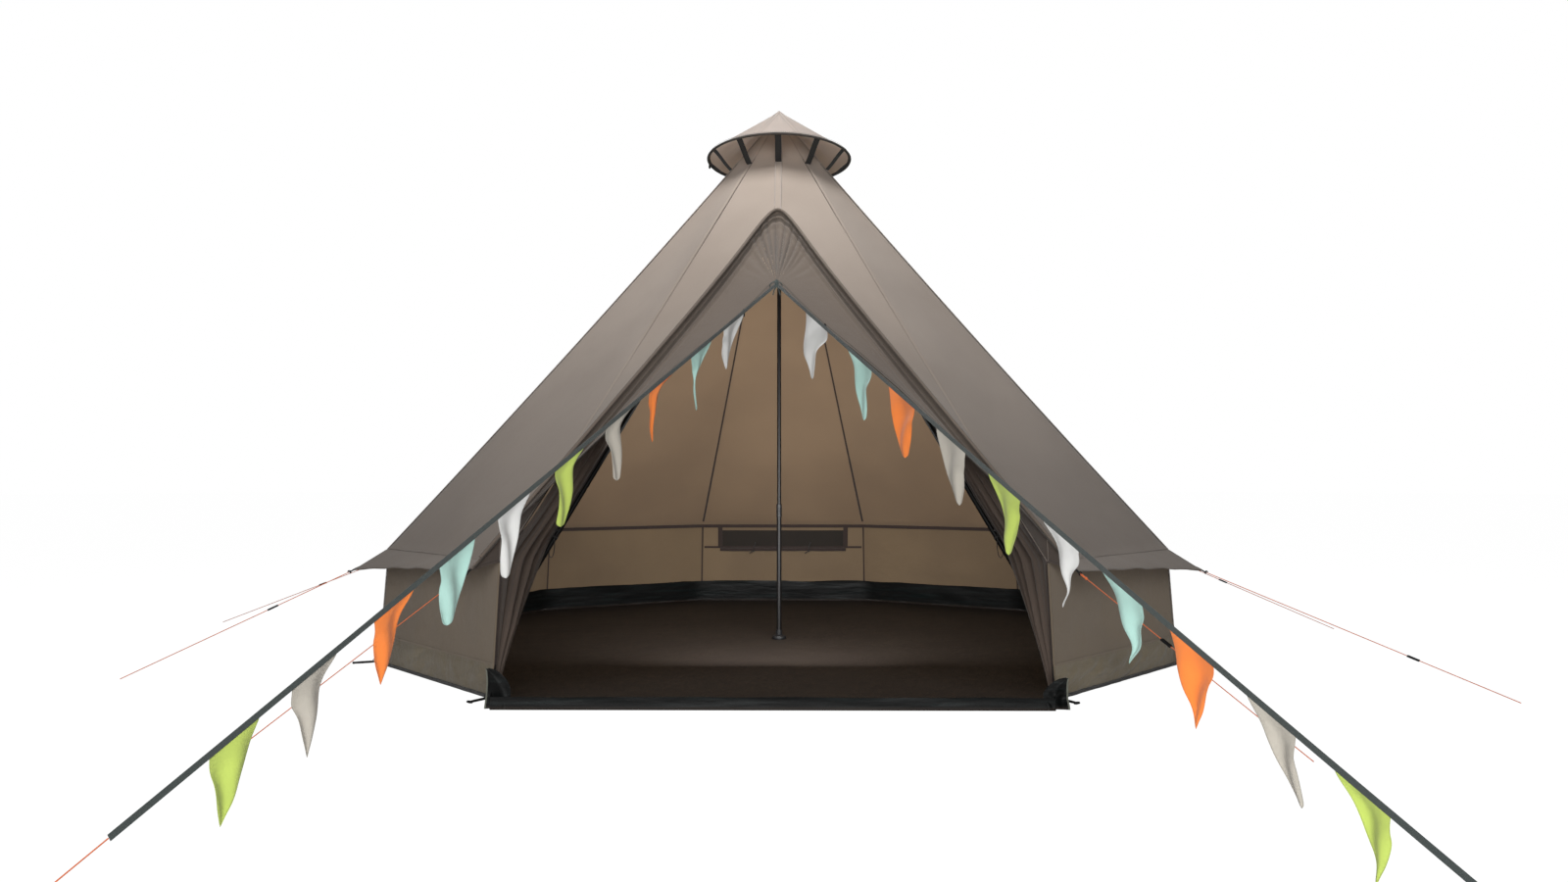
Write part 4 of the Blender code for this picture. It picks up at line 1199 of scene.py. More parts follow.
@dataclass
class Section(ABC):
    """A sub-assembly of the tent, built from what all of them share."""

    tent: Tent
    thickness: float = 0.0016

    @property
    def outline(self) -> Outline:
        """Plan and slopes of the cloth."""
        return self.tent.outline

    @property
    def finishes(self) -> Finishes:
        """Materials of the tent."""
        return self.tent.finishes

    def mount(self, piece: bpy.types.Object, slot: str, *nodes: str) -> bpy.types.Object:
        """Let a piece ride on the tent's body and stand for CAD nodes."""
        return mount(piece, self.tent.body, slot, *nodes)

    @abstractmethod
    def build(self) -> None:
        """Build the section's pieces."""


@dataclass
class Roof(Section):
    """Cone of eleven gores, its ridge seams inside and out, and its eave seam."""

    seam_width: float = 0.014
    tape_width: float = 0.019
    gore_columns: int = 22
    crown_rows: int = 10
    slope_rows: int = 44
    eave_runs: tuple[float, ...] = (1.12, 1.3, 1.5, 1.7, 1.85, 1.94, 2.0)
    seam_runs: tuple[float, float] = (0.03, 1.0)
    tape_runs: tuple[float, float] = (0.10, 0.99)
    seam_depth: float = -0.0007
    seam_thickness: float = 0.0012
    tape_depth: float = 0.0030
    line_width: float = 0.0042
    eave_end: float = 5.44
    joint_width: float = 0.010
    hem_run: float = 1.96
    hem_width: float = 0.009
    hem_thickness: float = 0.0026
    eave_tape_width: float = 0.020
    parts: tuple[tuple[str, float, float], ...] = (("left", -5.5, -1.5), ("right", 1.5, 5.5), ("back", -1.5, 1.5))

    def runs(self) -> list[float]:
        """Rows from the crown to the lip."""
        apex = self.outline.hood_run
        upper = [apex * k / self.crown_rows for k in range(self.crown_rows)]
        return [*upper, *steps(apex, 1, self.slope_rows), *self.eave_runs]

    def point(self, turn: float, run: float) -> Vector:
        """Return a point of the outer face with the cloth's soft waves.

        Args:
            turn: place round the tent, in wall panels.
            run: way down the roof: 0 at the crown, 1 at the wall, 2 at the lip.

        Returns:
            The point.
        """
        outline = self.outline
        spot = outline.roof(turn, run)
        middle = math.sin(math.pi * ((turn - 0.5) % 1))
        calm = min(1.0, run * 2.5) * middle
        wave = ripple((spot.x, spot.y, spot.z * 0.35), 2.3) * 0.006 * calm
        if 0.8 < run <= 1:
            wave += math.sin(turn * 57) * 0.0012 * (run - 0.8) * 5 * middle
        if run > 1:
            wave = math.sin(turn * 31 + 2) * 0.004 * (run - 1) * middle
        lift = outline.outward(turn) * 0.75 + UP * 0.66
        return spot + lift * wave

    def build_part(self, name: str, start: float, end: float) -> None:
        """Build one part of the roof.

        Args:
            name: left, right or back.
            start: its first turn.
            end: its last turn.
        """
        gores = round(end - start)
        across = self.gore_columns * gores
        turns = steps(start, end, across)
        runs = self.runs()
        grid = np.array([[self.point(t, r) for t in turns] for r in runs])
        away = np.zeros(grid.shape[:2])
        for j, turn in enumerate(turns):
            nearest = math.floor(turn) + 0.5
            ridge = min((nearest, nearest - 1, nearest + 1), key=lambda r: abs(r - turn))
            ridge = max(start, min(end, ridge))
            column = min(range(across + 1), key=lambda k: abs(turns[k] - ridge))
            away[:, j] = np.linalg.norm(grid[:, j] - grid[:, column], axis=1)
        fin = self.finishes
        piece = shell("roof_cloth_" + name, grid, self.thickness, fin.roof, fin.lining, seam=away)
        # Painted shade: the inner faces of the front gores take the darker door cloth, for the shade under the front
        # corners.
        piece.data.materials.append(fin.door)
        for face in piece.data.polygons:
            column = face.index // 2 % across
            inner = face.index % 2 and face.index < 2 * across * (len(runs) - 1)
            if inner and abs(turns[column] + turns[column + 1]) / 2 > FRONT_TURN:
                face.material_index = 2
        self.mount(piece, "roof_cloth", "roof_" + name)
        LOG.info("roof part %s", name)

    def ridge_path(self, turn: float, depth: float, low: float, high: float) -> tuple[list[Vector], list[Vector]]:
        """Return the line of a ridge behind the outer face.

        Args:
            turn: place round the tent, in wall panels.
            depth: how far behind the face.
            low: run where it starts.
            high: run where it ends.

        Returns:
            Its points and their outward normals.
        """
        outline = self.outline
        path, normals = [], []
        for run in steps(low, high, 40):
            spot = outline.roof(turn, run)
            ahead = outline.roof(turn, min(2.0, run + 0.01)) - outline.roof(turn, max(0.0, run - 0.01))
            level = Vector((ahead.y, -ahead.x, 0))
            normal = level.cross(ahead).normalized()
            if normal.z < 0:
                normal = -normal
            path.append(spot - normal * depth)
            normals.append(normal)
        return path, normals

    def build_seams(self) -> None:
        """Sew the ridge seams outside and the dark tapes inside."""
        fin = self.finishes
        outside, inside = [], []
        for k in range(CORNERS):
            turn = k - FRONT_TURN
            path, normals = self.ridge_path(turn, self.seam_depth, *self.seam_runs)
            outside.append(ribbon("ridge_%d" % k, path, normals, self.seam_width, self.seam_thickness, fin.roof))
            path, normals = self.ridge_path(turn, self.tape_depth, *self.tape_runs)
            inside.append(ribbon("inner_ridge_%d" % k, path, normals, self.tape_width, TAPE, fin.seam_tape))
        outline = self.outline
        path, normals = self.ridge_path(outline.sides / 2, -0.0012, self.seam_runs[0], outline.hood_run)
        parts = [ribbon("band", path, normals, self.seam_width * 2.2, TAPE, fin.roof)]
        # Painted highlight: the two raised lines of the front seam take the paler hat cloth.
        for sign in (-1, 1):
            line = [p + Vector((sign * self.seam_width, 0, 0)) + n * 0.0008 for p, n in zip(path, normals)]
            parts.append(ribbon("line", line, normals, self.line_width, TAPE, fin.hat))
        self.mount(join("ridge_front", parts), "roof_cloth")
        self.mount(join("ridge_seams", outside), "roof_cloth")
        self.mount(join("inner_seam_tapes", inside), "webbing")

    def build_eave(self) -> None:
        """Sew the eave's lip hem and the line where the wall joins."""
        outline, fin = self.outline, self.finishes
        hems, joints = [], []
        for side in (-1, 1):
            turns = steps(0, side * self.eave_end, 160)
            path = [self.point(t, 1.0) + outline.outward(t) * 0.0016 + UP * 0.0012 for t in turns]
            normals = [(outline.outward(t) * 0.6 + UP * 0.8).normalized() for t in turns]
            joints.append(ribbon("joint", path, normals, self.joint_width, TAPE, fin.roof))
            path = [self.point(t, self.hem_run) + UP * 0.0012 for t in turns]
            normals = [(outline.outward(t) * 0.5 + UP * 0.86).normalized() for t in turns]
            hems.append(ribbon("hem", path, normals, self.hem_width, self.hem_thickness, fin.roof))
        self.mount(join("eave_hem", hems), "roof_cloth")
        self.mount(join("eave_seam", joints), "roof_cloth")
        turns = steps(-FRONT_TURN, FRONT_TURN, 180)
        path = [outline.plan(t, outline.wall_top_radius - 0.006) + UP * (outline.wall_height - 0.012) for t in turns]
        normals = [-outline.outward(t) for t in turns]
        tape = ribbon("inner_eave_tape", path, normals, self.eave_tape_width, TAPE, fin.seam_tape)
        self.mount(tape, "webbing")

    def build(self) -> None:
        """Build the whole roof."""
        for name, start, end in self.parts:
            self.build_part(name, start, end)
        self.build_seams()
        self.build_eave()


@dataclass
class Hood(Section):
    """Pleated front panel over the door, its piping, rolled ridge, clips and tie.

    Each row of stitches has its distance from the panel's edge, then its pitch.
    """

    gap: float = 0.0006
    pleat: float = 0.017
    pleats: int = 24
    reach: float = 0.50
    hollow: float = 0.036
    groove: float = 0.006
    groove_pitch: float = 0.034
    piping: float = 0.0028
    ridge_radius: float = 0.0085
    columns: int = 340
    rows: int = 44
    row_power: float = 1.5
    fold_span: float = 0.97
    stitch_span: float = 0.84
    flat: tuple[float, float] = (3.9, 0.45)
    least_area: float = 0.53
    ridge_stitches: tuple[float, float] = (0.030, 0.010)
    edge_stitches: tuple[float, float] = (0.012, 0.009)
    clips: tuple[tuple[str, float], ...] = (("left", -0.127), ("right", 0.19))
    bow: tuple[tuple[int, float, float], ...] = ((-1, 0.030, 0.011), (1, 0.024, 0.009))
    bow_tail: tuple[tuple[float, float], ...] = ((0, -0.008), (0.010, -0.030), (0.016, -0.052))

    def point(self, across: float, share: float) -> Vector:
        """Return a point of the pleated panel.

        Args:
            across: place across the hood, -1 to 1.
            share: 0 at its ridge, 1 at its lower edge.

        Returns:
            The point.
        """
        outline = self.outline
        knot = outline.hood_point(0, outline.hood_fall(0))
        depth = outline.hood_fall(across)
        fall = depth * share
        spot = outline.hood_point(across, fall)
        away = spot - knot
        near = max(0.0, 1 - away.length / self.reach)
        lean = math.atan2(away.x, away.z)
        calm = math.exp(-((lean / 0.5) ** 4))
        crease = abs(math.sin(self.pleats * lean + 0.5 + 0.8 * math.sin(4 * lean))) ** 0.7 - 0.55
        wide = abs(math.sin(self.pleats * 0.45 * lean)) ** 0.7 - 0.55
        fan = 4 * near * (1 - near) * smooth(away.length / 0.05)
        fold = self.pleat * fan * (crease * calm + wide * 0.45 * math.exp(-((lean / 1.1) ** 4)))
        deep = smooth(depth / 0.10)
        rolls = math.sin(2 * math.pi * fall / self.groove_pitch) * math.exp(-((fall / 0.060) ** 2))
        groove = -self.groove * rolls * deep
        hollow = -self.hollow * math.sin(math.pi * share ** 0.6) * smooth((1 - abs(across)) * 4) * deep
        soft = ripple((spot.x * 1.3, 0, spot.z), 5.0) * 0.004 * math.sin(math.pi * share)
        bead = fold * (1 - share ** 6) + hollow + groove + soft
        return spot + outline.hood_normal * (self.gap + bead)

    def build_panel(self) -> list[Vector]:
        """Build the pleated panel and its piping.

        Returns:
            The line of its lower edge.
        """
        outline, fin = self.outline, self.finishes
        across = [outline.hood_tip_share * s * (0.28 + 0.72 * s * s) for s in steps(1, -1, self.columns)]
        shares = [share ** self.row_power for share in (k / self.rows for k in range(self.rows + 1))]
        grid = np.array([[self.point(a, s) for a in across] for s in shares])
        falls = np.outer(shares, [outline.hood_fall(a) for a in across])
        edge = np.minimum(np.abs(falls - 0.024), np.abs(falls - 0.048))
        edge = np.minimum(edge, (1 - np.array(shares))[:, None] * 0.16)
        panel = shell("hood_panel", grid, self.thickness, fin.hood, fin.lining, seam=edge)
        self.mount(panel, "hood_cloth", "door_hood")
        lower = [Vector(p) + outline.hood_normal * 0.0006 for p in grid[-1]]
        self.mount(tube("hood_piping", lower, self.piping, fin.binding, sides=8), "webbing")
        return lower

    def build_ridge(self) -> None:
        """Build the rolled ridge and the row of stitches that runs beside it."""
        outline, fin = self.outline, self.finishes
        places = steps(-self.fold_span, self.fold_span, 160)
        fold = [outline.hood_point(at, 0.003) + outline.hood_normal * 0.004 for at in places]
        self.mount(tube("hood_ridge_fold", fold, self.ridge_radius, fin.hood, sides=12, squash=0.8), "hood_cloth")
        fall, pitch = self.ridge_stitches
        row = [self.point(at, fall / outline.hood_fall(at)) for at in steps(self.stitch_span, -self.stitch_span, 160)]
        line = [Vector(p) + outline.hood_normal * 0.0008 for p in row]
        self.mount(self.tent.stitches.along("hood_ridge_stitches", line, pitch, fin.strap), "webbing")

    def build_fittings(self) -> None:
        """Build the two edge clips and the tie in the middle of the lower edge."""
        outline, fin = self.outline, self.finishes
        out = outline.hood_normal
        for name, at in self.clips:
            spot = outline.hood_point(at, outline.hood_fall(at)) + out * 0.003
            path = [spot + UP * 0.014, spot + UP * 0.004, spot - UP * 0.018]
            clip = tube("hood_clip_" + name, path, [0.003, 0.0055, 0.004], fin.plastic, sides=8)
            self.mount(clip, "black_plastic")
        spot = outline.hood_point(0, outline.hood_fall(0)) + out * 0.010
        knot = [spot + UP * rise for rise in (0.016, 0.008, -0.010, -0.018)]
        parts = [tube("knot", knot, [0.005, 0.010, 0.010, 0.005], fin.tape, sides=10)]
        for sign, wide, tall in self.bow:
            ring = []
            for angle in round_angles(18):
                reach = (1 - math.cos(angle)) / 2
                ring.append(spot + Vector((sign * wide * reach, 0, tall * math.sin(angle) - 0.010 * reach)))
            parts.append(tube("loop", ring, 0.0030, fin.tape, sides=8, closed=True, squash=0.6))
            tail = [spot + Vector((sign * across, 0, fall)) for across, fall in self.bow_tail]
            parts.append(tube("tail", tail, 0.0034, fin.tape, sides=8, squash=0.4))
        self.mount(join("hood_tie", parts), "webbing")

    def build(self) -> None:
        """Build the hood's panel and its trimmings."""
        lower = self.build_panel()
        self.build_ridge()
        self.build_fittings()
        rise, pitch = self.edge_stitches
        stitches = [p + UP * rise + self.outline.hood_normal * 0.0008 for p in lower]
        thread = self.tent.stitches.along("hood_stitches", stitches[10:-10:2], pitch, self.finishes.strap)
        self.mount(thread, "webbing")
        LOG.info("hood")


@dataclass
class Walls(Section):
    """Low walls with their mud flap, corner seams, hem, window and pegs.

    A cut is a size of flat cloth. A band or strap has its width, then its thickness. Corner bands have
    their widths outside and inside, trims their widths across and upright.
    """

    flap_height: float = 0.125
    parts: tuple[tuple[str, float, float], ...] = (
        ("left", -FRONT_TURN, -0.5), ("back", -0.5, 0.5), ("right", 0.5, FRONT_TURN)
    )
    window_width: float = 0.820
    window_sill: float = 0.350
    window_height: float = 0.110
    panel_width: float = 1.07
    panel_columns: int = 60
    low_row: float = 0.011
    low_rows: int = 13
    high_rows: tuple[float, ...] = (0.16, 0.19, 0.22, 0.25, 0.28, 0.31, 0.34, 0.37, 0.4, 0.43, 0.46)
    tub_edge: float = 0.138
    hem_radius: float = 0.0072
    tie_places: tuple[float, float] = (-0.19, 0.17)
    wall_cut: float = 0.5
    flap_cut: tuple[float, float] = (9.63, 0.125)
    roll_cut: tuple[float, float] = (0.82, 0.13)
    seam_band: tuple[float, float] = (0.009, 0.0016)
    corner_bands: tuple[float, float] = (0.008, 0.016)
    window_trim_reach: float = 0.515
    trim_widths: tuple[float, float] = (0.013, 0.030)
    trim_thickness: float = 0.0012
    net_thickness: float = 0.0008
    crease_depth: float = 0.0085
    flap_rows: int = 46
    flap_turns: float = 2.2
    flap_radii: tuple[float, float] = (0.0125, 0.0045)
    peg_reach: float = 0.104
    peg_radii: tuple[float, ...] = (0.0035, 0.0050, 0.0050, 0.0050, 0.0042)
    peg_head_radii: tuple[float, ...] = (0.0042, 0.0056, 0.0042)
    peg_head_half: float = 0.012
    peg_strap: tuple[float, float] = (0.016, 0.0016)
    front_lean: float = 0.5

    def point(self, turn: float, height: float) -> Vector:
        """Return a point of the wall's outer face with its soft billow.

        Args:
            turn: place round the tent, in wall panels.
            height: height above the ground.

        Returns:
            The point.
        """
        outline = self.outline
        middle = math.sin(math.pi * ((turn - 0.5) % 1))
        spot = outline.plan(turn, outline.wall_radius(height))
        spot.z = height
        up = height / outline.wall_height
        free = smooth((height - self.tub_edge) / 0.08) * min(1, (1 - up) * 6)
        billow = -0.012 * middle * math.sin(math.pi * up) * free
        wave = ripple((turn * 2.2, up * 1.2, 3.1), 1.7) * 0.010 * middle * free
        low = smooth((self.flap_height - height) / 0.03) * min(1.0, middle * 2.5) * min(1, height * 40)
        busy = 1.0 if 3.5 < turn < FRONT_TURN else 0.45
        wrinkle = abs(ripple((turn * 9 + height * 20, height * 10 - turn * 3, 1.4), 1.0)) * 0.022 * low * busy
        return spot + outline.outward(turn) * (billow + wave + wrinkle)

    def crease(self, turn: float, height: float) -> float:
        """Return the depth of the slanted creases in the mud flap.

        Args:
            turn: place round the tent, in wall panels.
            height: height above the ground.

        Returns:
            The depth.
        """
        calm = math.sin(math.pi * min(1.0, max(0.0, (height - 0.012) / (self.flap_height - 0.012))))
        slant = turn * 26 + height * 55
        bend = ripple((turn * 5, height * 9, 0.7), 1.0) * 3.0
        busy = 0.5 + 0.5 * ripple((turn * 3.3, height * 6, 9.1), 1.0)
        return self.crease_depth * calm * (abs(math.sin(slant + bend)) ** 0.6) * busy

    def build(self) -> None:
        """Build the walls and their trimmings."""
        outline, fin = self.outline, self.finishes
        top = outline.wall_height - 0.0045
        heights = [*(self.low_row * k for k in range(self.low_rows)), *self.high_rows, top]
        for name, start, end in self.parts:
            panels = round(end - start)
            columns = self.panel_columns * panels
            turns = steps(start, end, columns)
            grid = np.array([[self.point(t, h) for t in turns] for h in reversed(heights)])
            seam = np.tile([abs((t % 1) - 0.5) * self.panel_width for t in turns], (len(heights), 1))
            if name == "back":
                self.build_back(grid, seam)
                continue
            piece = shell("wall_cloth_" + name, grid, self.thickness, fin.wall, fin.wall_lining, seam=seam)
            self.mount(piece, "wall_cloth", "wall_" + name)
        self.build_trims()
        self.build_pegs()
        LOG.info("walls")

    def build_back(self, grid: np.ndarray, seam: np.ndarray) -> None:
        """Build the back wall round its window.

        Args:
            grid: points of the wall.
            seam: distance to the seam at each point.
        """
        fin = self.finishes
        piece = shell("wall_cloth_back", grid, self.thickness, fin.wall, fin.wall_lining, seam=seam)
        self.mount(piece, "wall_cloth", "wall_back")
        bm = bmesh.new()
        place = Matrix.Translation((0, 1.8, self.window_sill + self.window_height / 2))
        bmesh.ops.create_cube(
            bm, size=1, matrix=place @ Matrix.Diagonal((self.window_width, 0.5, self.window_height, 1))
        )
        cutter = add_object("window_cut", settle(bm, "window_cut"))
        cut = piece.modifiers.new("window", "BOOLEAN")
        cut.object = cutter
        cut.operation = "DIFFERENCE"
        cut.solver = "EXACT"
        mesh = evaluate(piece)
        piece.modifiers.remove(cut)
        piece.data = mesh
        bpy.data.objects.remove(cutter)
        self.build_window()

    def window_point(self, x: float, height: float, depth: float) -> Vector:
        """Return a point over the window, depth behind the wall's outer face."""
        turn = 0.5 * x / (self.outline.wall_radius(height) * math.sin(self.outline.panel / 2))
        spot = self.point(turn, height)
        return spot - Vector((0, depth, 0))

    def build_window(self) -> None:
        """Build the net, its dark frame, the rolled flap and its ties."""
        fin = self.finishes
        half = self.window_width / 2
        low, high = self.window_sill, self.window_sill + self.window_height
        xs = steps(-half, half, 40)
        zs = steps(high, low, 8)
        grid = np.array([[self.window_point(x, z, 0.0005) for x in xs] for z in zs])
        net = shell("window_net", grid, self.net_thickness, fin.net)
        self.mount(net, "mesh", "window_mesh")
        span = steps(-self.window_trim_reach, self.window_trim_reach, 40)
        across = [[self.window_point(x, min(z, 0.49), 0.0030) for x in span] for z in (low, high + 0.024)]
        upright = [[self.window_point(x, z, 0.0034) for z in steps(low, high + 0.02, 6)] for x in (-half, half)]
        trims = []
        for paths, width in zip((across, upright), self.trim_widths):
            for path in paths:
                trims.append(ribbon("trim", path, [AHEAD] * len(path), width, self.trim_thickness, fin.seam_tape))
        self.mount(join("window_frame", trims), "webbing")
        self.build_flap(half)

    def build_flap(self, half: float) -> None:
        """Roll the window's flap under it and tie it.

        Args:
            half: half of the window's width.
        """
        fin = self.finishes
        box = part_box("window_roll")
        middle = (box[0] + box[1]) / 2
        rows = []
        for k in range(self.flap_rows):
            share = k / (self.flap_rows - 1)
            angle = 2 * math.pi * self.flap_turns * share
            size = mix(*self.flap_radii, share)
            row = []
            for x in steps(-half, half, 60):
                reach = size * (1 + 0.10 * ripple((x, 0.1 * k, 2.0), 9.0))
                sag = -0.002 * math.sin(math.pi * ((x / half + 1) * 1.5 % 1))
                row.append((x, middle.y - math.cos(angle) * reach, middle.z + sag + math.sin(angle) * reach))
            rows.append(row)
        roll = shell("window_flap_roll", np.array(rows), 0.0012, fin.seam_tape)
        self.mount(roll, "inner_cloth", "window_roll")
        ties = []
        for x in self.tie_places:
            hub = Vector((x, middle.y - 0.002, middle.z))
            ring = circle(hub, 0.0165, 20, AHEAD, UP)
            ties.append(tube("tie", ring, 0.0028, fin.strap, sides=6, closed=True))
            top = Vector((x, middle.y - 0.012, middle.z + 0.012))
            tail = Vector((x, middle.y - 0.018, middle.z - 0.004))
            for root, first, second, radius in (
                (top, (0.006, -0.006, 0.016), (0.012, -0.007, 0.034), 0.0035),
                (tail, (-0.012, -0.006, -0.012), (-0.028, -0.004, -0.020), 0.0030),
            ):
                path = [root, root + Vector(first), root + Vector(second)]
                ties.append(tube("tie", path, radius, fin.strap, sides=6))
        self.mount(join("window_ties", ties), "webbing")

    def build_trims(self) -> None:
        """Sew the mud flap seam, the hem and the corner seams."""
        outline, fin = self.outline, self.finishes
        turns = steps(-FRONT_TURN, FRONT_TURN, 540)
        rows = steps(self.flap_height, 0.012, 16)
        grid = np.array(
            [[self.point(t, h) + outline.outward(t) * (0.0012 + self.crease(t, h)) for t in turns] for h in rows]
        )
        flap = self.mount(shell("mud_flap", grid, 0.0010, fin.flap), "wall_cloth")
        path = [self.point(t, self.flap_height) + outline.outward(t) * 0.0012 for t in turns]
        normals = [outline.outward(t) for t in turns]
        self.mount(ribbon("mud_flap_seam", path, normals, *self.seam_band, fin.wall), "wall_cloth")
        path = [self.point(t, 0.0078) + outline.outward(t) * 0.0030 for t in turns]
        self.mount(tube("wall_hem", path, self.hem_radius, fin.strap, sides=10), "webbing")
        corners, inner = [], []
        for k in range(CORNERS):
            turn = k - FRONT_TURN
            away = outline.outward(turn)
            for depth, parts, finish, wide in (
                (-0.0007, corners, fin.wall, self.corner_bands[0]),
                (0.0032, inner, fin.seam_tape, self.corner_bands[1]),
            ):
                path = [outline.plan(turn, outline.wall_radius(h) - depth) + UP * h for h in steps(0.012, 0.488, 12)]
                parts.append(ribbon("corner", path, [away] * len(path), wide, TAPE, finish))
        self.mount(join("wall_corner_seams", corners), "wall_cloth")
        self.mount(join("inner_corner_tapes", inner), "webbing")

    def build_pegs(self) -> None:
        """Set a peg with its strap at each corner of the wall's foot."""
        outline, fin = self.outline, self.finishes
        straps, bars = [], []
        for k in range(CORNERS):
            away = outline.outward(k - FRONT_TURN)
            foot = outline.plan(k - FRONT_TURN, outline.wall_foot_radius)
            if k in (0, CORNERS - 1):
                away = Vector((math.copysign(self.front_lean, k - FRONT_TURN), -0.87, 0))
                foot += Vector((0, -0.012, 0))
            side = Vector((-away.y, away.x, 0))
            path = [foot + away * mix(0.006, 0.026, smooth(at)) + UP * mix(0.040, 0.009, at) for at in steps(0, 1, 5)]
            faces = [(away + UP * 0.2).normalized()] * len(path)
            straps.append(ribbon("strap", path, faces, *self.peg_strap, fin.strap))
            root, end = foot + away * 0.010 + UP * 0.010, foot + away * self.peg_reach + UP * 0.010
            head = steps(end - side * self.peg_head_half, end + side * self.peg_head_half, 2)
            bars.append(tube("bar", steps(root, end, 4), self.peg_radii, fin.plastic, sides=8))
            bars.append(tube("head", head, self.peg_head_radii, fin.plastic, sides=8))
        self.mount(join("corner_peg_straps", straps), "webbing")
        self.mount(join("corner_pegs", bars), "black_plastic")


@dataclass
class Groundsheet(Section):
    """Tub floor with its raised rim, the low lip at the door and the tucks at its ends.

    Each tuck has its name and side, the depth of its folds, its height and how far out it begins.
    """

    tub_height: float = 0.132
    sill_height: float = 0.045
    sill_reach: float = 1.790
    sill_half_width: float = 0.985
    side_steps: int = 16
    floor_shares: tuple[float, ...] = (0.02, 0.12, 0.24, 0.36, 0.48, 0.6, 0.7, 0.8, 0.88, 0.94, 0.98, 1.0)
    rim_shares: tuple[float, ...] = (0.12, 0.25, 0.4, 0.55, 0.7, 0.85, 1.0)
    tuck_width: float = 0.088
    piping: float = 0.0032
    flat: tuple[float, float] = (3.9, 3.75)
    least_area: float = 11.0
    tucks: tuple[tuple[str, int, float, float, float], ...] = (
        ("left", -1, 0.006, 0.135, 0.018), ("right", 1, 0.018, 0.105, 0.048)
    )

    def corner(self, k: int, height: float) -> Vector:
        """Return a corner of the tub's outside: ten under the wall, then the sill's two.

        Args:
            k: number of the corner.
            height: height above the ground.

        Returns:
            The corner.
        """
        outline = self.outline
        if k < CORNERS:
            return outline.plan(k - FRONT_TURN, outline.wall_radius(height) - 0.0032)
        side = 1 if k == CORNERS else -1
        return Vector((side * self.sill_half_width, -self.sill_reach, 0))

    def rim_height(self, k: int) -> float:
        """Return the rim's height at a corner."""
        return self.tub_height if k < CORNERS else self.sill_height

    def edge(self, step: int, share: float) -> Vector:
        """Return a point of the tub's outside.

        Args:
            step: step round the edge.
            share: share of the rim's height.

        Returns:
            The point.
        """
        k, part = divmod(step, self.side_steps)
        after, part = (k + 1) % (CORNERS + 2), part / self.side_steps
        rims = self.rim_height(k), self.rim_height(after)
        low = mix(self.corner(k, 0), self.corner(after, 0), part)
        high = mix(self.corner(k, rims[0]), self.corner(after, rims[1]), part)
        point = mix(low, high, share)
        point.z = mix(*rims, part) * share
        return point

    def floor_point(self, step: int, share: float) -> tuple[float, float, float]:
        """Return a point of the floor, with its low folds.

        Args:
            step: step round the edge.
            share: share of the way out to the edge.

        Returns:
            The point.
        """
        spot = self.edge(step, 0) * share
        calm = smooth((share - 0.1) * 4) * smooth((1.0 - share) * 12)
        wave = max(0.0, ripple((spot.x, spot.y, 0.5), 2.1)) * 0.010 * calm
        fine = max(0.0, ripple((spot.x * 2, spot.y * 5, 2.5), 2.0)) * 0.004 * calm
        return spot.x, spot.y, wave + fine

    def rim_point(self, step: int, share: float) -> tuple[float, ...]:
        """Return a point of the upright rim, a little slumped.

        Args:
            step: step round the edge.
            share: share of the rim's height.

        Returns:
            The point.
        """
        spot = self.edge(step, share)
        away = Vector((spot.x, spot.y, 0)).normalized()
        slump = abs(ripple((spot.x * 2.5, spot.y * 2.5, spot.z * 9), 2.0)) * 0.018 * math.sin(math.pi * share * 0.6)
        spot = spot - away * slump
        spot.z *= 1 - 0.10 * abs(ripple((spot.x, spot.y, 7.7), 3.0)) * share
        return tuple(spot)

    def build(self) -> None:
        """Build the groundsheet."""
        fin = self.finishes
        round_it = range((CORNERS + 2) * self.side_steps)
        rows = [[self.floor_point(step, share) for step in round_it] for share in self.floor_shares]
        rows += [[self.rim_point(step, share) for step in round_it] for share in self.rim_shares]
        grid = np.array(rows)
        sheet = shell("groundsheet_cloth", grid, self.thickness, fin.sheet, wrap=True, cap=True)
        self.mount(sheet, "groundsheet", "groundsheet")
        for tuck in self.tucks:
            self.build_tuck(*tuck)
        LOG.info("groundsheet")

    def build_tuck(self, name: str, side: int, rough: float, tall: float, out: float) -> None:
        """Turn up a rounded ear of the sheet at a corner of the sill, with a bound edge.

        Args:
            name: left or right.
            side: -1 on the left, 1 on the right.
            rough: depth of its folds.
            tall: its height.
            out: how far beyond the sill's end it begins.
        """
        fin = self.finishes
        wide = self.tuck_width
        start = Vector((side * (self.sill_half_width + out), -self.sill_reach + 0.006, 0.003))
        rows = []
        for share in steps(0, 1, 28):
            reach = wide * (1 - share ** 2.6) ** 0.5 * (0.8 + 0.2 * math.sin(math.pi * share)) + 0.004
            calm = rough * math.sin(math.pi * min(1, share * 1.1 + 0.1))
            row = []
            for u in steps(0, 1, 20):
                curl = 0.030 * math.sin(math.pi * share * 0.8) * (1 - u) + 0.024 * u * u * share
                rumple = ripple((u * 2.4 + side, share * 3.1, 0.4), 1.3) * calm
                back = curl + rumple + 0.010 * math.sin(5 * u + 4 * share) * u
                row.append(start + Vector((-side * reach * u, back, tall * share)))
            rows.append(row)
        if side < 0:
            rows = [list(reversed(row)) for row in rows]
        grid = np.array(list(reversed(rows)))
        ear = self.mount(shell("sill_tuck_" + name, grid, self.thickness, fin.sheet), "groundsheet")
        edge = [Vector(p) for p in grid[:, 0 if side > 0 else -1]]
        self.mount(tube("sill_tuck_piping_" + name, edge, self.piping, fin.piping, sides=8), "webbing")


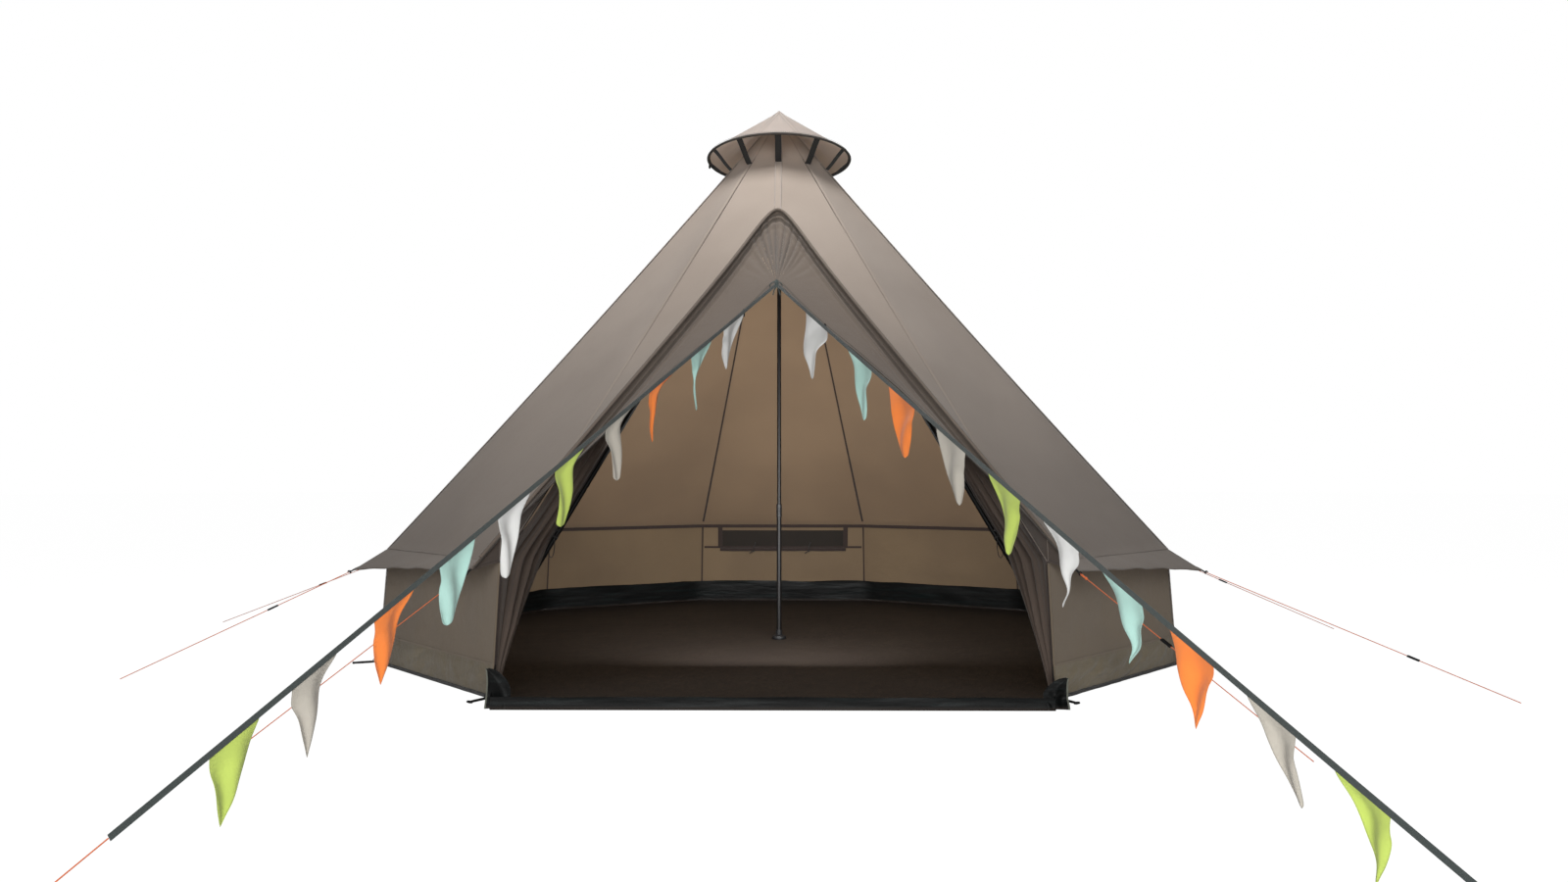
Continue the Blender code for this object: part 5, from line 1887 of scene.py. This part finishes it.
@dataclass
class VentHat(Section):
    """Cone hat on a hoop, held off the roof by straps."""

    top: float = 2.668
    radius: float = 0.357
    drop: float = 0.255
    tilt: float = math.radians(5.2)
    rows: int = 25
    gore_columns: int = 12
    binding: float = 0.0072
    hoop: float = 0.0034
    flat: tuple[float, float] = (0.86, 0.86)
    area: float = 0.50
    strap_foot: float = 0.262
    strap_width: float = 0.031
    strap_thickness: float = 0.0022

    def tipped(self, point: Vector) -> Vector:
        """Tip a point of the hat back about its top."""
        pivot = Vector((0, 0, self.top))
        return Matrix.Rotation(-self.tilt, 3, "X") @ (point - pivot) + pivot

    def cone_point(self, angle: float, share: float) -> Vector:
        """Return a point of the cone.

        Args:
            angle: angle round it.
            share: 0 at its top, 1 at its rim.

        Returns:
            The point.
        """
        gore = (angle / (2 * math.pi) * self.outline.sides) % 1
        dip = -0.006 * math.sin(math.pi * gore) * math.sin(math.pi * share)
        crease = math.sin(angle * 23 + 1) * 0.0016 * (1 - share) * min(1, share * 8)
        peak = 0.006 * math.exp(-((share / 0.06) ** 2)) - 0.006
        height = self.top - self.drop * share + dip + crease + peak
        reach = self.radius * share
        return self.tipped(Vector((math.sin(angle) * reach, math.cos(angle) * reach, height)))

    def build_straps(self) -> bpy.types.Object:
        """Build the straps from the hoop down to the roof's ridges.

        Returns:
            The straps as one piece.
        """
        outline = self.outline
        start, foot = self.radius - 0.0075, self.strap_foot
        high = self.top - self.drop - 0.006
        low = outline.ridge_height(foot) + 0.003
        run = Vector((foot - start, 0, low - high))
        straps = StrapRing().build("straps", {
            "Count": outline.sides, "First Turn": math.pi / 2 - outline.panel / 2, "Reach": (start + foot) / 2,
            "Drop": (high + low) / 2, "Lean": math.atan2(run.x, run.z), "Width": self.strap_width,
            "Thickness": self.strap_thickness, "Length": run.length, "Strap": self.finishes.strap,
        })
        for vert in straps.data.vertices:
            share = smooth((Vector((vert.co.x, vert.co.y)).length - foot) / (start - foot))
            vert.co = mix(vert.co, self.tipped(vert.co), share)
        return straps

    def build(self) -> None:
        """Build the hat, its binding, hoop and straps."""
        fin = self.finishes
        columns = self.gore_columns * self.outline.sides
        angles = round_angles(columns)
        shares = [mix(0.012, 1.0, k / (self.rows - 1)) for k in range(self.rows)]
        grid = np.array([[self.cone_point(angle, share) for angle in angles] for share in shares])
        gores = [(j / self.gore_columns) % 1 for j in range(columns)]
        seam = np.outer(np.arange(1, self.rows + 1) / self.rows, [min(g, 1 - g) * 0.2 for g in gores])
        hat = shell("hat_cone", grid, self.thickness, fin.hat, fin.hat_lining, seam=seam, wrap=True, cap=True)
        self.mount(hat, "hat_cloth", "vent_hat")
        rim = Vector((0, 0, self.top - self.drop))
        ring = circle(rim - UP * 0.008, self.radius - 0.001, columns, Vector((0, 1, 0)), Vector((1, 0, 0)))
        ring = [self.tipped(point) for point in ring]
        binding = tube("hat_binding", ring, self.binding, fin.binding, sides=10, closed=True, squash=0.6)
        self.mount(binding, "webbing")
        inner = [p + (rim - p).normalized() * 0.0055 + UP * 0.0065 for p in ring]
        hoop = tube("hoop", inner, self.hoop, fin.strap, sides=8, closed=True)
        self.mount(join("hat_hoop_straps", [hoop, self.build_straps()]), "webbing", "hat_hoop")
        line = [p + UP * 0.012 - Vector((p.x, p.y, 0)) * 0.006 for p in ring]
        self.mount(self.tent.stitches.along("hat_stitches", line, 0.010, fin.binding, closed=True), "webbing")
        LOG.info("vent hat")


@dataclass
class Poles(Section):
    """Centre pole and door frame: CAD tubes with their finishes, grip rings and leg ties."""

    tubes: tuple[str, ...] = ("pole_lower", "pole_upper", "door_leg_left", "door_leg_right", "door_elbow")
    mouldings: tuple[str, ...] = ("pole_foot", "pole_collar", "pole_spike", "crown_plate", "vent_pull")
    grips: int = 5
    grip_height: float = 0.625
    grip_pitch: float = 0.007
    grip_radius: float = 0.0137
    tie_shares: tuple[float, ...] = (0.30, 0.62)
    tie_radius: float = 0.0115
    grip_thickness: float = 0.0010
    tie_thickness: float = 0.0030

    def build(self) -> None:
        """Dress the poles and add the collar's grip rings and the leg ties."""
        fin = self.finishes
        for names, finish in ((self.tubes, fin.tube), (self.mouldings, fin.plastic)):
            for name in names:
                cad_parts[name].data.materials[0] = finish
        grips = []
        for k in range(self.grips):
            ring = circle(UP * (self.grip_height + k * self.grip_pitch), self.grip_radius, 24)
            grips.append(tube("grip", ring, self.grip_thickness, fin.plastic, sides=6, closed=True))
        mount(join("collar_grips", grips), "locking_collar", "black_plastic")
        for name, side in SIGNS.items():
            low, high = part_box("door_leg_" + name)
            foot = Vector((low.x if side < 0 else high.x, low.y, low.z))
            head = Vector((high.x if side < 0 else low.x, high.y, high.z))
            along = (head - foot).normalized()
            across = along.orthogonal().normalized()
            ties = []
            for share in self.tie_shares:
                ring = circle(mix(foot, head, share), self.tie_radius, 20, across, along.cross(across))
                ties.append(tube("tie", ring, self.tie_thickness, fin.strap, sides=6, closed=True))
            self.mount(join("leg_ties_" + name, ties), "webbing")
        LOG.info("poles")


@dataclass
class DoorCloth(Section):
    """Door cloth gathered to both sides, with its rolled upper part, band and toggle."""

    top: float = 1.250
    tie_height: float = 0.560
    foot_inset: float = 0.006
    foot_width: float = 0.014
    rail_inset: float = 0.030
    leg_turn: float = 4.21
    leg_inset: float = 0.047
    elbow_depth: float = 0.035
    leg_cross: float = 0.260
    leg_radius: float = 0.0095
    leg_clearance: float = 0.016
    rows: int = 61
    columns: int = 73
    fold: float = 0.016
    roll_ends: tuple[float, float] = (0.50, 1.42)
    side_cut: tuple[float, float] = (0.65, 1.25)
    least_area: float = 0.25
    roll_cut: tuple[float, float] = (0.16, 0.92)
    roll_thickness: float = 0.003

    def leg_at(self, side: int, height: float) -> Vector:
        """Return the centre of a door leg at a height.

        Args:
            side: -1 on the left, 1 on the right.
            height: height above the ground.

        Returns:
            The point.
        """
        outline = self.outline
        foot = outline.plan(self.leg_turn, outline.wall_foot_radius - self.leg_inset)
        middle = Vector((0, foot.y, 0))
        top = outline.hood_apex - outline.hood_normal * self.elbow_depth
        cross = top + (top - middle).normalized() * self.leg_cross
        start = Vector((side * foot.x, foot.y, 0))
        along = (cross - start).normalized()
        return start + along * (height / along.z)

    def back_edge(self, side: int, height: float) -> Vector:
        """Return the cloth's inner edge: out to its tie, then up along the leg.

        Args:
            side: -1 on the left, 1 on the right.
            height: height above the ground.

        Returns:
            The point.
        """
        outline = self.outline
        corner = outline.plan(FRONT_TURN, outline.wall_foot_radius - self.foot_inset)
        start = Vector((side * (corner.x - self.foot_width), corner.y, height))
        offset = Vector((side * 0.6, -0.8, 0)) * (self.leg_radius + self.leg_clearance)
        if height >= self.tie_height:
            return self.leg_at(side, height) + offset
        tied = self.leg_at(side, self.tie_height) + offset
        point = mix(start, tied, (height / self.tie_height) ** 1.25)
        point.z = height
        return point

    def front_edge(self, side: int, height: float) -> Vector:
        """Return the cloth's outer edge inside the front corner, then under its ridge.

        Args:
            side: -1 on the left, 1 on the right.
            height: height above the ground.

        Returns:
            The point.
        """
        outline = self.outline
        radius = outline.wall_radius(height) - self.foot_inset
        if height > outline.wall_height:
            share = (outline.crown_height - height) / (outline.crown_height - outline.wall_height)
            drawn = mix(self.foot_inset, self.rail_inset, smooth((height - outline.wall_height) / 0.2))
            radius = mix(outline.crown_radius, outline.wall_top_radius, share) - drawn
        corner = outline.plan(FRONT_TURN, radius)
        return Vector((side * corner.x, corner.y, height))

    def build_side(self, name: str, side: int) -> None:
        """Build the cloth on one side.

        Args:
            name: left or right.
            side: -1 on the left, 1 on the right.
        """
        fin = self.finishes
        rows = []
        for i in range(self.rows):
            height = mix(0.0035, self.top, i / (self.rows - 1))
            back, front = self.back_edge(side, height), self.front_edge(side, height)
            run = front - back
            across = Vector((run.y, -run.x, 0)).normalized()
            row = []
            for u in (j / (self.columns - 1) for j in range(self.columns)):
                swell = math.sin(math.pi * min(1, u * 1.02)) * min(1, i / 12)
                lean = 2 * math.pi * (u + height / 7.5)
                fold = self.fold * swell * (math.sin(4 * lean) + 0.4 * math.sin(9 * lean + side))
                row.append(mix(back, front, u) + across * fold)
            rows.append(row)
        grid = np.array(rows)
        # The darker door cloth is painted shade.
        cloth = shell("door_cloth_" + name, grid, self.thickness, fin.door)
        self.mount(cloth, "wall_cloth", "door_flap_" + name)
        self.build_roll(name, side)

    def build_roll(self, name: str, side: int) -> None:
        """Build the rolled cloth along the leg, with its toggle and loop.

        Args:
            name: left or right.
            side: -1 on the left, 1 on the right.
        """
        fin = self.finishes
        path, rows = [], []
        for k, share in enumerate(steps(0, 1, 40)):
            height = mix(*self.roll_ends, share)
            point = self.leg_at(side, height) + Vector((side * 0.040, 0.006, 0)) * (1 - share * 0.4)
            point += Vector((ripple((height, side, 0.3), 7.0), ripple((height, side, 5.3), 7.0), 0)) * 0.006
            size = (0.032 - 0.018 * share) * (0.72 + 0.28 * smooth(share * 8))
            size *= 1 + 0.18 * ripple((height * 3, side, 1.3), 4.0)
            path.append((point, size))
            row = []
            for angle in round_angles(48):
                groove = 1 + 0.16 * math.sin(angle * 5 + k * 0.12) + 0.07 * math.sin(angle * 9 - k * 0.2)
                row.append(point + Vector((math.cos(angle), math.sin(angle), 0)) * size * groove)
            rows.append(row)
        roll = shell("door_roll_" + name, np.array(rows), self.roll_thickness, fin.roll, wrap=True)
        self.mount(roll, "wall_cloth")
        centre, size = path[4]
        ring = circle(centre, size * 1.16, 28)
        face = centre + Vector((-side * 0.010, -size * 1.22, 0))
        bar = [face + UP * rise for rise in (-0.022, -0.012, 0.012, 0.022)]
        loop = [face + Vector((side * 0.014, 0, 0)) * math.sin(a) - UP * (0.055 * (1 - math.cos(a)))
                for a in round_angles(24)]
        band = [
            tube("band", ring, 0.0055, fin.strap, sides=8, closed=True, squash=0.5),
            tube("toggle", bar, [0.003, 0.006, 0.006, 0.003], fin.plastic, sides=8),
            tube("loop", loop, 0.0018, fin.strap, sides=6, closed=True),
        ]
        self.mount(join("door_toggle_" + name, band), "black_plastic")

    def build(self) -> None:
        """Build both sides."""
        for name, side in SIGNS.items():
            self.build_side(name, side)
        LOG.info("door cloth")


@dataclass
class Bunting(Section):
    """Tape and pennants on each door guy, with the rope tail to the ground."""

    peg_x: dict[str, float] = field(default_factory=lambda: {"left": 1.320, "right": 1.345})
    peg_reach: dict[str, float] = field(default_factory=lambda: {"left": 3.910, "right": 4.050})
    sag: dict[str, float] = field(default_factory=lambda: {"left": 0.004, "right": 0.015})
    tape_end: dict[str, float] = field(default_factory=lambda: {"left": 0.921, "right": 0.960})
    tape_width: float = 0.015
    tape_thickness: float = 0.0012
    rope_radius: float = 0.0015
    hood_thickness: float = 0.002
    forward: float = 0.0011
    start_reach: float = 0.004
    pennant_width: float = 0.168
    pennant_length: float = 0.240
    pennant_thickness: float = 0.0009
    colours: tuple[str, ...] = ("white", "aqua", "orange", "sand", "lime")
    # each pennant: its place along the guy, its width and length as shares of the largest, then
    # how far its middle has drifted and its width, both as shares of its top, at each quarter down
    shapes: dict[str, tuple[tuple[float, ...], ...]] = field(default_factory=lambda: {
        "left": (
            (0.123, 1.20, 0.82, 0.16, 0.77, 0.23, 0.45, 0.32, 0.32, 0.36, 0.08),
            (0.206, 1.10, 0.99, 0.14, 0.55, 0.36, 0.11, 0.41, 0.09, 0.32, 0.06),
            (0.297, 1.10, 0.89, 0.27, 0.46, 0.33, 0.23, 0.36, 0.15, 0.29, 0.06),
            (0.381, 1.04, 0.87, 0.19, 0.58, 0.15, 0.44, 0.17, 0.35, 0.20, 0.27),
            (0.467, 1.04, 0.87, 0.20, 0.55, 0.20, 0.45, 0.20, 0.35, 0.24, 0.28),
            (0.550, 1.00, 0.86, 0.14, 0.64, 0.12, 0.50, 0.17, 0.39, 0.27, 0.25),
            (0.624, 0.95, 0.79, 0.09, 0.82, 0.18, 0.66, 0.26, 0.46, 0.29, 0.26),
            (0.695, 0.92, 0.80, 0.15, 0.64, 0.18, 0.51, 0.23, 0.32, 0.27, 0.03),
            (0.771, 0.88, 0.79, 0.13, 0.67, 0.15, 0.44, 0.21, 0.23, 0.23, 0.03),
            (0.836, 0.84, 0.76, 0.08, 0.76, 0.17, 0.49, 0.19, 0.30, 0.21, 0.04),
        ),
        "right": (
            (0.121, 1.40, 0.95, -0.06, 0.96, -0.17, 0.65, -0.13, 0.33, -0.17, 0.12),
            (0.235, 1.30, 0.93, 0.12, 0.64, 0.06, 0.44, 0.08, 0.30, 0.12, 0.14),
            (0.329, 1.24, 0.87, 0.07, 0.84, 0.09, 0.68, 0.14, 0.46, 0.23, 0.20),
            (0.424, 1.18, 0.85, 0.10, 0.83, 0.10, 0.60, 0.17, 0.40, 0.20, 0.16),
            (0.511, 1.10, 0.82, 0.08, 0.70, 0.17, 0.45, 0.18, 0.36, 0.21, 0.15),
            (0.590, 1.04, 0.80, 0.17, 0.61, 0.19, 0.31, 0.25, 0.06, 0.03, 0.05),
            (0.663, 1.00, 0.76, 0.15, 0.69, 0.22, 0.46, 0.32, 0.22, 0.15, 0.04),
            (0.733, 0.94, 0.75, 0.07, 0.80, 0.14, 0.57, 0.20, 0.26, 0.15, 0.03),
            (0.801, 0.88, 0.73, 0.19, 0.63, 0.29, 0.40, 0.41, 0.21, 0.53, 0.08),
            (0.866, 0.84, 0.67, 0.18, 0.64, 0.27, 0.43, 0.34, 0.17, 0.30, 0.03),
        ),
    })

    def start(self, name: str) -> Vector:
        """Return the start of a door guy, against the middle of the hood's edge.

        Args:
            name: left or right.

        Returns:
            The point.
        """
        outline = self.outline
        across = self.start_reach / outline.front_peak.x
        edge = outline.hood_point(across, outline.hood_fall(across))
        forward = self.hood_thickness / abs(outline.hood_normal.y) + self.forward
        return Vector((SIGNS[name] * edge.x, edge.y - forward, edge.z))

    def line(self, name: str, share: float) -> Vector:
        """Return a point of a door guy, with its slight sag.

        Args:
            name: left or right.
            share: share of the way from the hood to the peg.

        Returns:
            The point.
        """
        peg = Vector((SIGNS[name] * self.peg_x[name], -self.peg_reach[name], self.rope_radius + 0.0003))
        point = mix(self.start(name), peg, share)
        point.z -= self.sag[name] * 4 * share * (1 - share)
        return point

    def build_line(self, name: str) -> None:
        """Build the tape and the rope tail of one side.

        Args:
            name: left or right.
        """
        fin = self.finishes
        end = self.tape_end[name]
        run = self.line(name, 1) - self.line(name, 0)
        level = Vector((run.y, -run.x, 0)).normalized()
        path = [self.line(name, share) for share in steps(0, end, 39)]
        tape = ribbon(
            "tape_" + name, path, [level * SIGNS[name]] * len(path), self.tape_width, self.tape_thickness, fin.tape
        )
        self.mount(tape, "webbing", "bunting_tape_" + name)
        length = lay_cord(path)
        tail = [self.line(name, share) for share in steps(end + 0.0003, 1, 15)]
        rope = tube("rope_tail_" + name, tail, self.rope_radius, fin.cord, sides=8)
        self.mount(rope, "rope", "door_guy_" + name)
        left = lay_cord(tail)
        LOG.info("line %s %.3f m of tape, %.3f m of rope", name, length, left)

    def hang(self, values: Sequence[float], v: float) -> float:
        """Return a smooth value down a pennant, from its values at the stations.

        Args:
            values: values at the stations.
            v: share of the way down.

        Returns:
            The value.
        """
        k = min(len(values) - 2, int(v * (len(values) - 1)))
        t = v * (len(values) - 1) - k
        before, low, high = values[max(0, k - 1)], values[k], values[k + 1]
        after = values[min(len(values) - 1, k + 2)]
        rise, fall = (high - before) / 2, (after - low) / 2
        value = (2 * t ** 3 - 3 * t ** 2 + 1) * low + (3 * t ** 2 - 2 * t ** 3) * high
        return value + (t ** 3 - 2 * t ** 2 + t) * rise + (t ** 3 - t ** 2) * fall

    def build_pennant(self, name: str, index: int) -> None:
        """Build one pennant.

        Args:
            name: left or right.
            index: its number on that side, from 0.
        """
        fin = self.finishes
        middle, wide, tall, *hung = self.shapes[name][index]
        centres, widths = [0.0, *hung[0::2]], [1.0, *hung[1::2]]
        run = self.line(name, 1) - self.line(name, 0)
        level = Vector((run.y, -run.x, 0)).normalized()
        full = self.pennant_width * wide
        deep = self.pennant_length * tall
        hub = self.line(name, middle)
        rows, away = [], []
        for v in steps(0, 1, 40):
            centre = self.hang(centres, v)
            tip = math.sqrt(max(0.02, 1 - max(0.0, (v - 0.93) / 0.07) ** 2))
            share = max(0.02, self.hang(widths, v)) * tip
            row, edge = [], []
            for u in steps(0, 1, 16):
                spot = self.line(name, middle + (centre + (u - 0.5) * share) * full / run.length)
                top = self.line(name, middle + (u - 0.5) * full / run.length)
                spot.z = mix(top.z, hub.z, smooth(v * 1.6)) - self.tape_width / 2 - deep * v
                curl = 0.012 * share * min(1, v * 3) * math.sin(2 * math.pi * (u - 0.25) + 5 * v + index)
                drift = 0.010 * v * math.sin(2.6 * index + 3 * v)
                row.append(spot + level * (curl + drift))
                edge.append(0.0085 + min(u, 1 - u) * share * full)
            rows.append(row)
            away.append(edge)
        grid = np.array(rows)
        label = "pennant_%s_%d" % (name, index + 1)
        colour = self.colours[index % len(self.colours)]
        cloth = shell(label + "_cloth", grid, self.pennant_thickness, fin.pennants[colour], seam=np.array(away))
        self.mount(cloth, colour, label)

    def build(self) -> None:
        """Hang every pennant."""
        for name in SIGNS:
            for index in range(len(self.shapes[name])):
                self.build_pennant(name, index)
        LOG.info("pennants")


@dataclass
class Guys(Section):
    """Six eave guys with their runners and hooks.

    The table holds each guy's name, the corner where it starts, its peg's reach from the middle
    and the angle in degrees by which it swings round from the corner's direction.
    """

    rope_radius: float = 0.0016
    looped: str = "front_right"
    knot_reaches: tuple[float, ...] = (0.040, 0.044, 0.049, 0.053)
    knot_radii: tuple[float, ...] = (0.0032, 0.0050, 0.0050, 0.0028)
    strand_radius: float = 0.0021
    hook_reach: float = 0.006
    hook_wire: float = 0.0026
    hook_start: float = 0.013
    hook_arc: tuple[float, float] = (0.15, 1.5)
    table: tuple[tuple[str, float, float, float], ...] = (
        ("front_left", -FRONT_TURN, 2.905, 0.0),
        ("front_right", FRONT_TURN, 2.958, 1.0),
        ("side_left", -3.5, 2.884, 0.0),
        ("side_right", 3.5, 3.144, 7.0),
        ("rear_left", -2.5, 3.170, -3.3),
        ("rear_right", 2.5, 2.974, 0.5),
    )

    def ends(self, name: str, turn: float, reach: float, swing: float) -> tuple[Vector, Vector]:
        """Return a guy's upper end at the eave and its lower end on the ground.

        Args:
            name: the guy's name.
            turn: corner where it starts.
            reach: its peg's distance from the middle.
            swing: degrees off the corner's way.

        Returns:
            Its upper end at the eave and its lower end on the ground.
        """
        outline = self.outline
        sign = -1 if turn > 0 else 1
        peg = Matrix.Rotation(sign * math.radians(swing), 3, "Z") @ outline.plan(turn, 1) * reach
        peg.z = self.rope_radius + 0.0003
        lip = outline.roof(turn, 2) - UP * 0.001
        reach = (lip + (peg - lip).normalized() * 0.002 - peg).length
        low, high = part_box("runner_" + name)
        return peg + ((low + high) / 2 - peg).normalized() * reach, peg

    def build_lines(self) -> None:
        """Lay the ropes."""
        fin = self.finishes
        for name, turn, reach, swing in self.table:
            start, end = self.ends(name, turn, reach, swing)
            path = steps(start, end, 19)
            rope = tube("rope_" + name, path, self.rope_radius, fin.cord, sides=8)
            self.mount(rope, "rope", "guy_" + name)
            if name == self.looped:
                self.build_loop(name, start, (end - start).normalized()).name
            LOG.info("guy %s %.3f m", name, lay_cord(path))

    def build_loop(self, name: str, start: Vector, along: Vector) -> bpy.types.Object:
        """Tie a small loop with its knot at a rope's upper end.

        Args:
            name: the rope's name.
            start: the rope's upper end.
            along: its direction.

        Returns:
            The loop.
        """
        cord = self.finishes.cord
        knot = [start + along * reach for reach in self.knot_reaches]
        parts = []
        for sign in (-1, 1):
            bow = [UP * (sign * 0.0022 * math.sin(math.pi * k / 8)) for k in range(9)]
            strand = [start + along * (0.010 + 0.034 * k / 8) + bow[k] for k in range(9)]
            parts.append(tube("strand", strand, self.strand_radius, cord, sides=8))
        parts.append(tube("knot", knot, self.knot_radii, cord, sides=8))
        return self.mount(join("guy_loop_" + name, parts), "rope")

    def build(self) -> None:
        """Hang the hooks at the eave's peaks and dress the runners."""
        fin = self.finishes
        for name, turn, reach, swing in self.table:
            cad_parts["runner_" + name].data.materials[0] = fin.plastic
            start, end = self.ends(name, turn, reach, swing)
            along = (end - start).normalized()
            over = along.cross(UP).normalized().cross(along)
            hook = []
            for angle in (math.pi * half_turns for half_turns in steps(*self.hook_arc, 12)):
                bend = along * math.cos(angle) + over * math.sin(angle)
                hook.append(start + along * self.hook_start + bend * self.hook_reach)
            tab = [start - along * 0.014 + over * 0.002, start + along * 0.004, start + along * 0.016]
            parts = [
                tube("hook", hook, self.hook_wire, fin.plastic, sides=8),
                tube("loop", tab, [0.0055, 0.0050, 0.0034], fin.plastic, sides=8, squash=0.6),
            ]
            self.mount(join("eave_hook_" + name, parts), "black_plastic")


@dataclass
class Studio:
    """Camera, lamps, world and floor. None of it belongs to the tent.

    rise and turn are the camera's, in degrees up and to the left; each lamp has its name, place,
    target, size and power; the floor glows towards the camera only, by floor_share of floor_glow.
    """

    lens: float = 26.865
    place: tuple[float, float, float] = (0.081, -5.885, 0.8137)
    rise: float = 1.725
    turn: float = 0.55
    soft_light: float = 0.05
    floor_glow: float = 1.10
    floor_share: float = 0.90
    lamps: tuple[tuple[str, tuple[float, ...], tuple[float, ...], float, float], ...] = (
        ("crown", (-0.15, -1.1, 4.0), (0, -0.2, 2.2), 1.1, 66),
        ("front", (-0.2, -8.4, 2.4), (0, 0, 0.9), 3.5, 430),
        ("inside", (0.0, -0.95, 0.62), (0, 1.5, 0.95), 0.85, 40),
    )

    def build_camera(self) -> None:
        """Set the camera at the photograph's angle."""
        data = bpy.data.cameras.new("camera")
        data.lens = self.lens
        data.sensor_width = 36.0
        camera = add_object("camera", data)
        camera.location = self.place
        camera.rotation_euler = (math.radians(90 + self.rise), 0, math.radians(self.turn))
        bpy.context.scene.camera = camera

    def build_lamps(self) -> None:
        """Hang the soft square lamps, each looking at its target."""
        for name, place, target, size, power in self.lamps:
            data = bpy.data.lights.new(name, "AREA")
            data.shape = "SQUARE"
            data.size = size
            data.energy = power
            made = add_object(name, data)
            made.location = place
            made.visible_camera = False
            made.rotation_euler = (Vector(target) - Vector(place)).to_track_quat("-Z", "Y").to_euler()

    def build_world(self) -> None:
        """Show white behind the tent and give soft light all round."""
        world = bpy.data.worlds.new("studio")
        world.use_nodes = True
        bpy.context.scene.world = world
        tree = world.node_tree
        tree.nodes.clear()
        path = tree.nodes.new("ShaderNodeLightPath")
        both = tree.nodes.new("ShaderNodeMixShader")
        tree.links.new(path.outputs["Is Camera Ray"], both.inputs[0])
        for slot, strength in ((1, self.soft_light), (2, 1.0)):
            light = tree.nodes.new("ShaderNodeBackground")
            light.inputs["Color"].default_value = (1, 1, 1, 1)
            light.inputs["Strength"].default_value = strength
            tree.links.new(light.outputs[0], both.inputs[slot])
        out = tree.nodes.new("ShaderNodeOutputWorld")
        tree.links.new(both.outputs[0], out.inputs[0])

    def build_floor(self) -> None:
        """Lay a pale floor that keeps the tent's shadow."""
        bm = bmesh.new()
        bmesh.ops.create_circle(bm, cap_ends=True, segments=96, radius=60)
        shader = Shader("floor_white")
        shader.set(Base_Color=(0.92, 0.92, 0.92, 1), Roughness=0.9)
        seen = shader.node("ShaderNodeLightPath", output="Is Camera Ray")
        glow = shader.node("ShaderNodeEmission", inputs={"Strength": self.floor_glow})
        shader.blend(seen * self.floor_share, glow)
        floor = mesh_object("floor", settle(bm, "floor"), shader.material)
        floor.location.z = -0.0006

    def build(self) -> None:
        """Set up lamps, world and floor."""
        bpy.context.scene.view_settings.view_transform = "Standard"
        self.build_lamps()
        self.build_world()
        self.build_floor()


def main() -> None:
    """Set the camera, lay the cords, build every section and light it."""
    logging.basicConfig(level=logging.INFO, format="%(message)s")
    studio = Studio()
    studio.build_camera()
    tent = Tent(Outline(), Finishes(), StitchRow())
    bunting = Bunting(tent)
    for name in SIGNS:
        bunting.build_line(name)
    guys = Guys(tent)
    guys.build_lines()
    for kind in (Roof, Hood, Walls, Groundsheet, VentHat, Poles, DoorCloth):
        kind(tent).build()
    bunting.build()
    guys.build()
    studio.build()


if __name__ == "__main__":
    main()
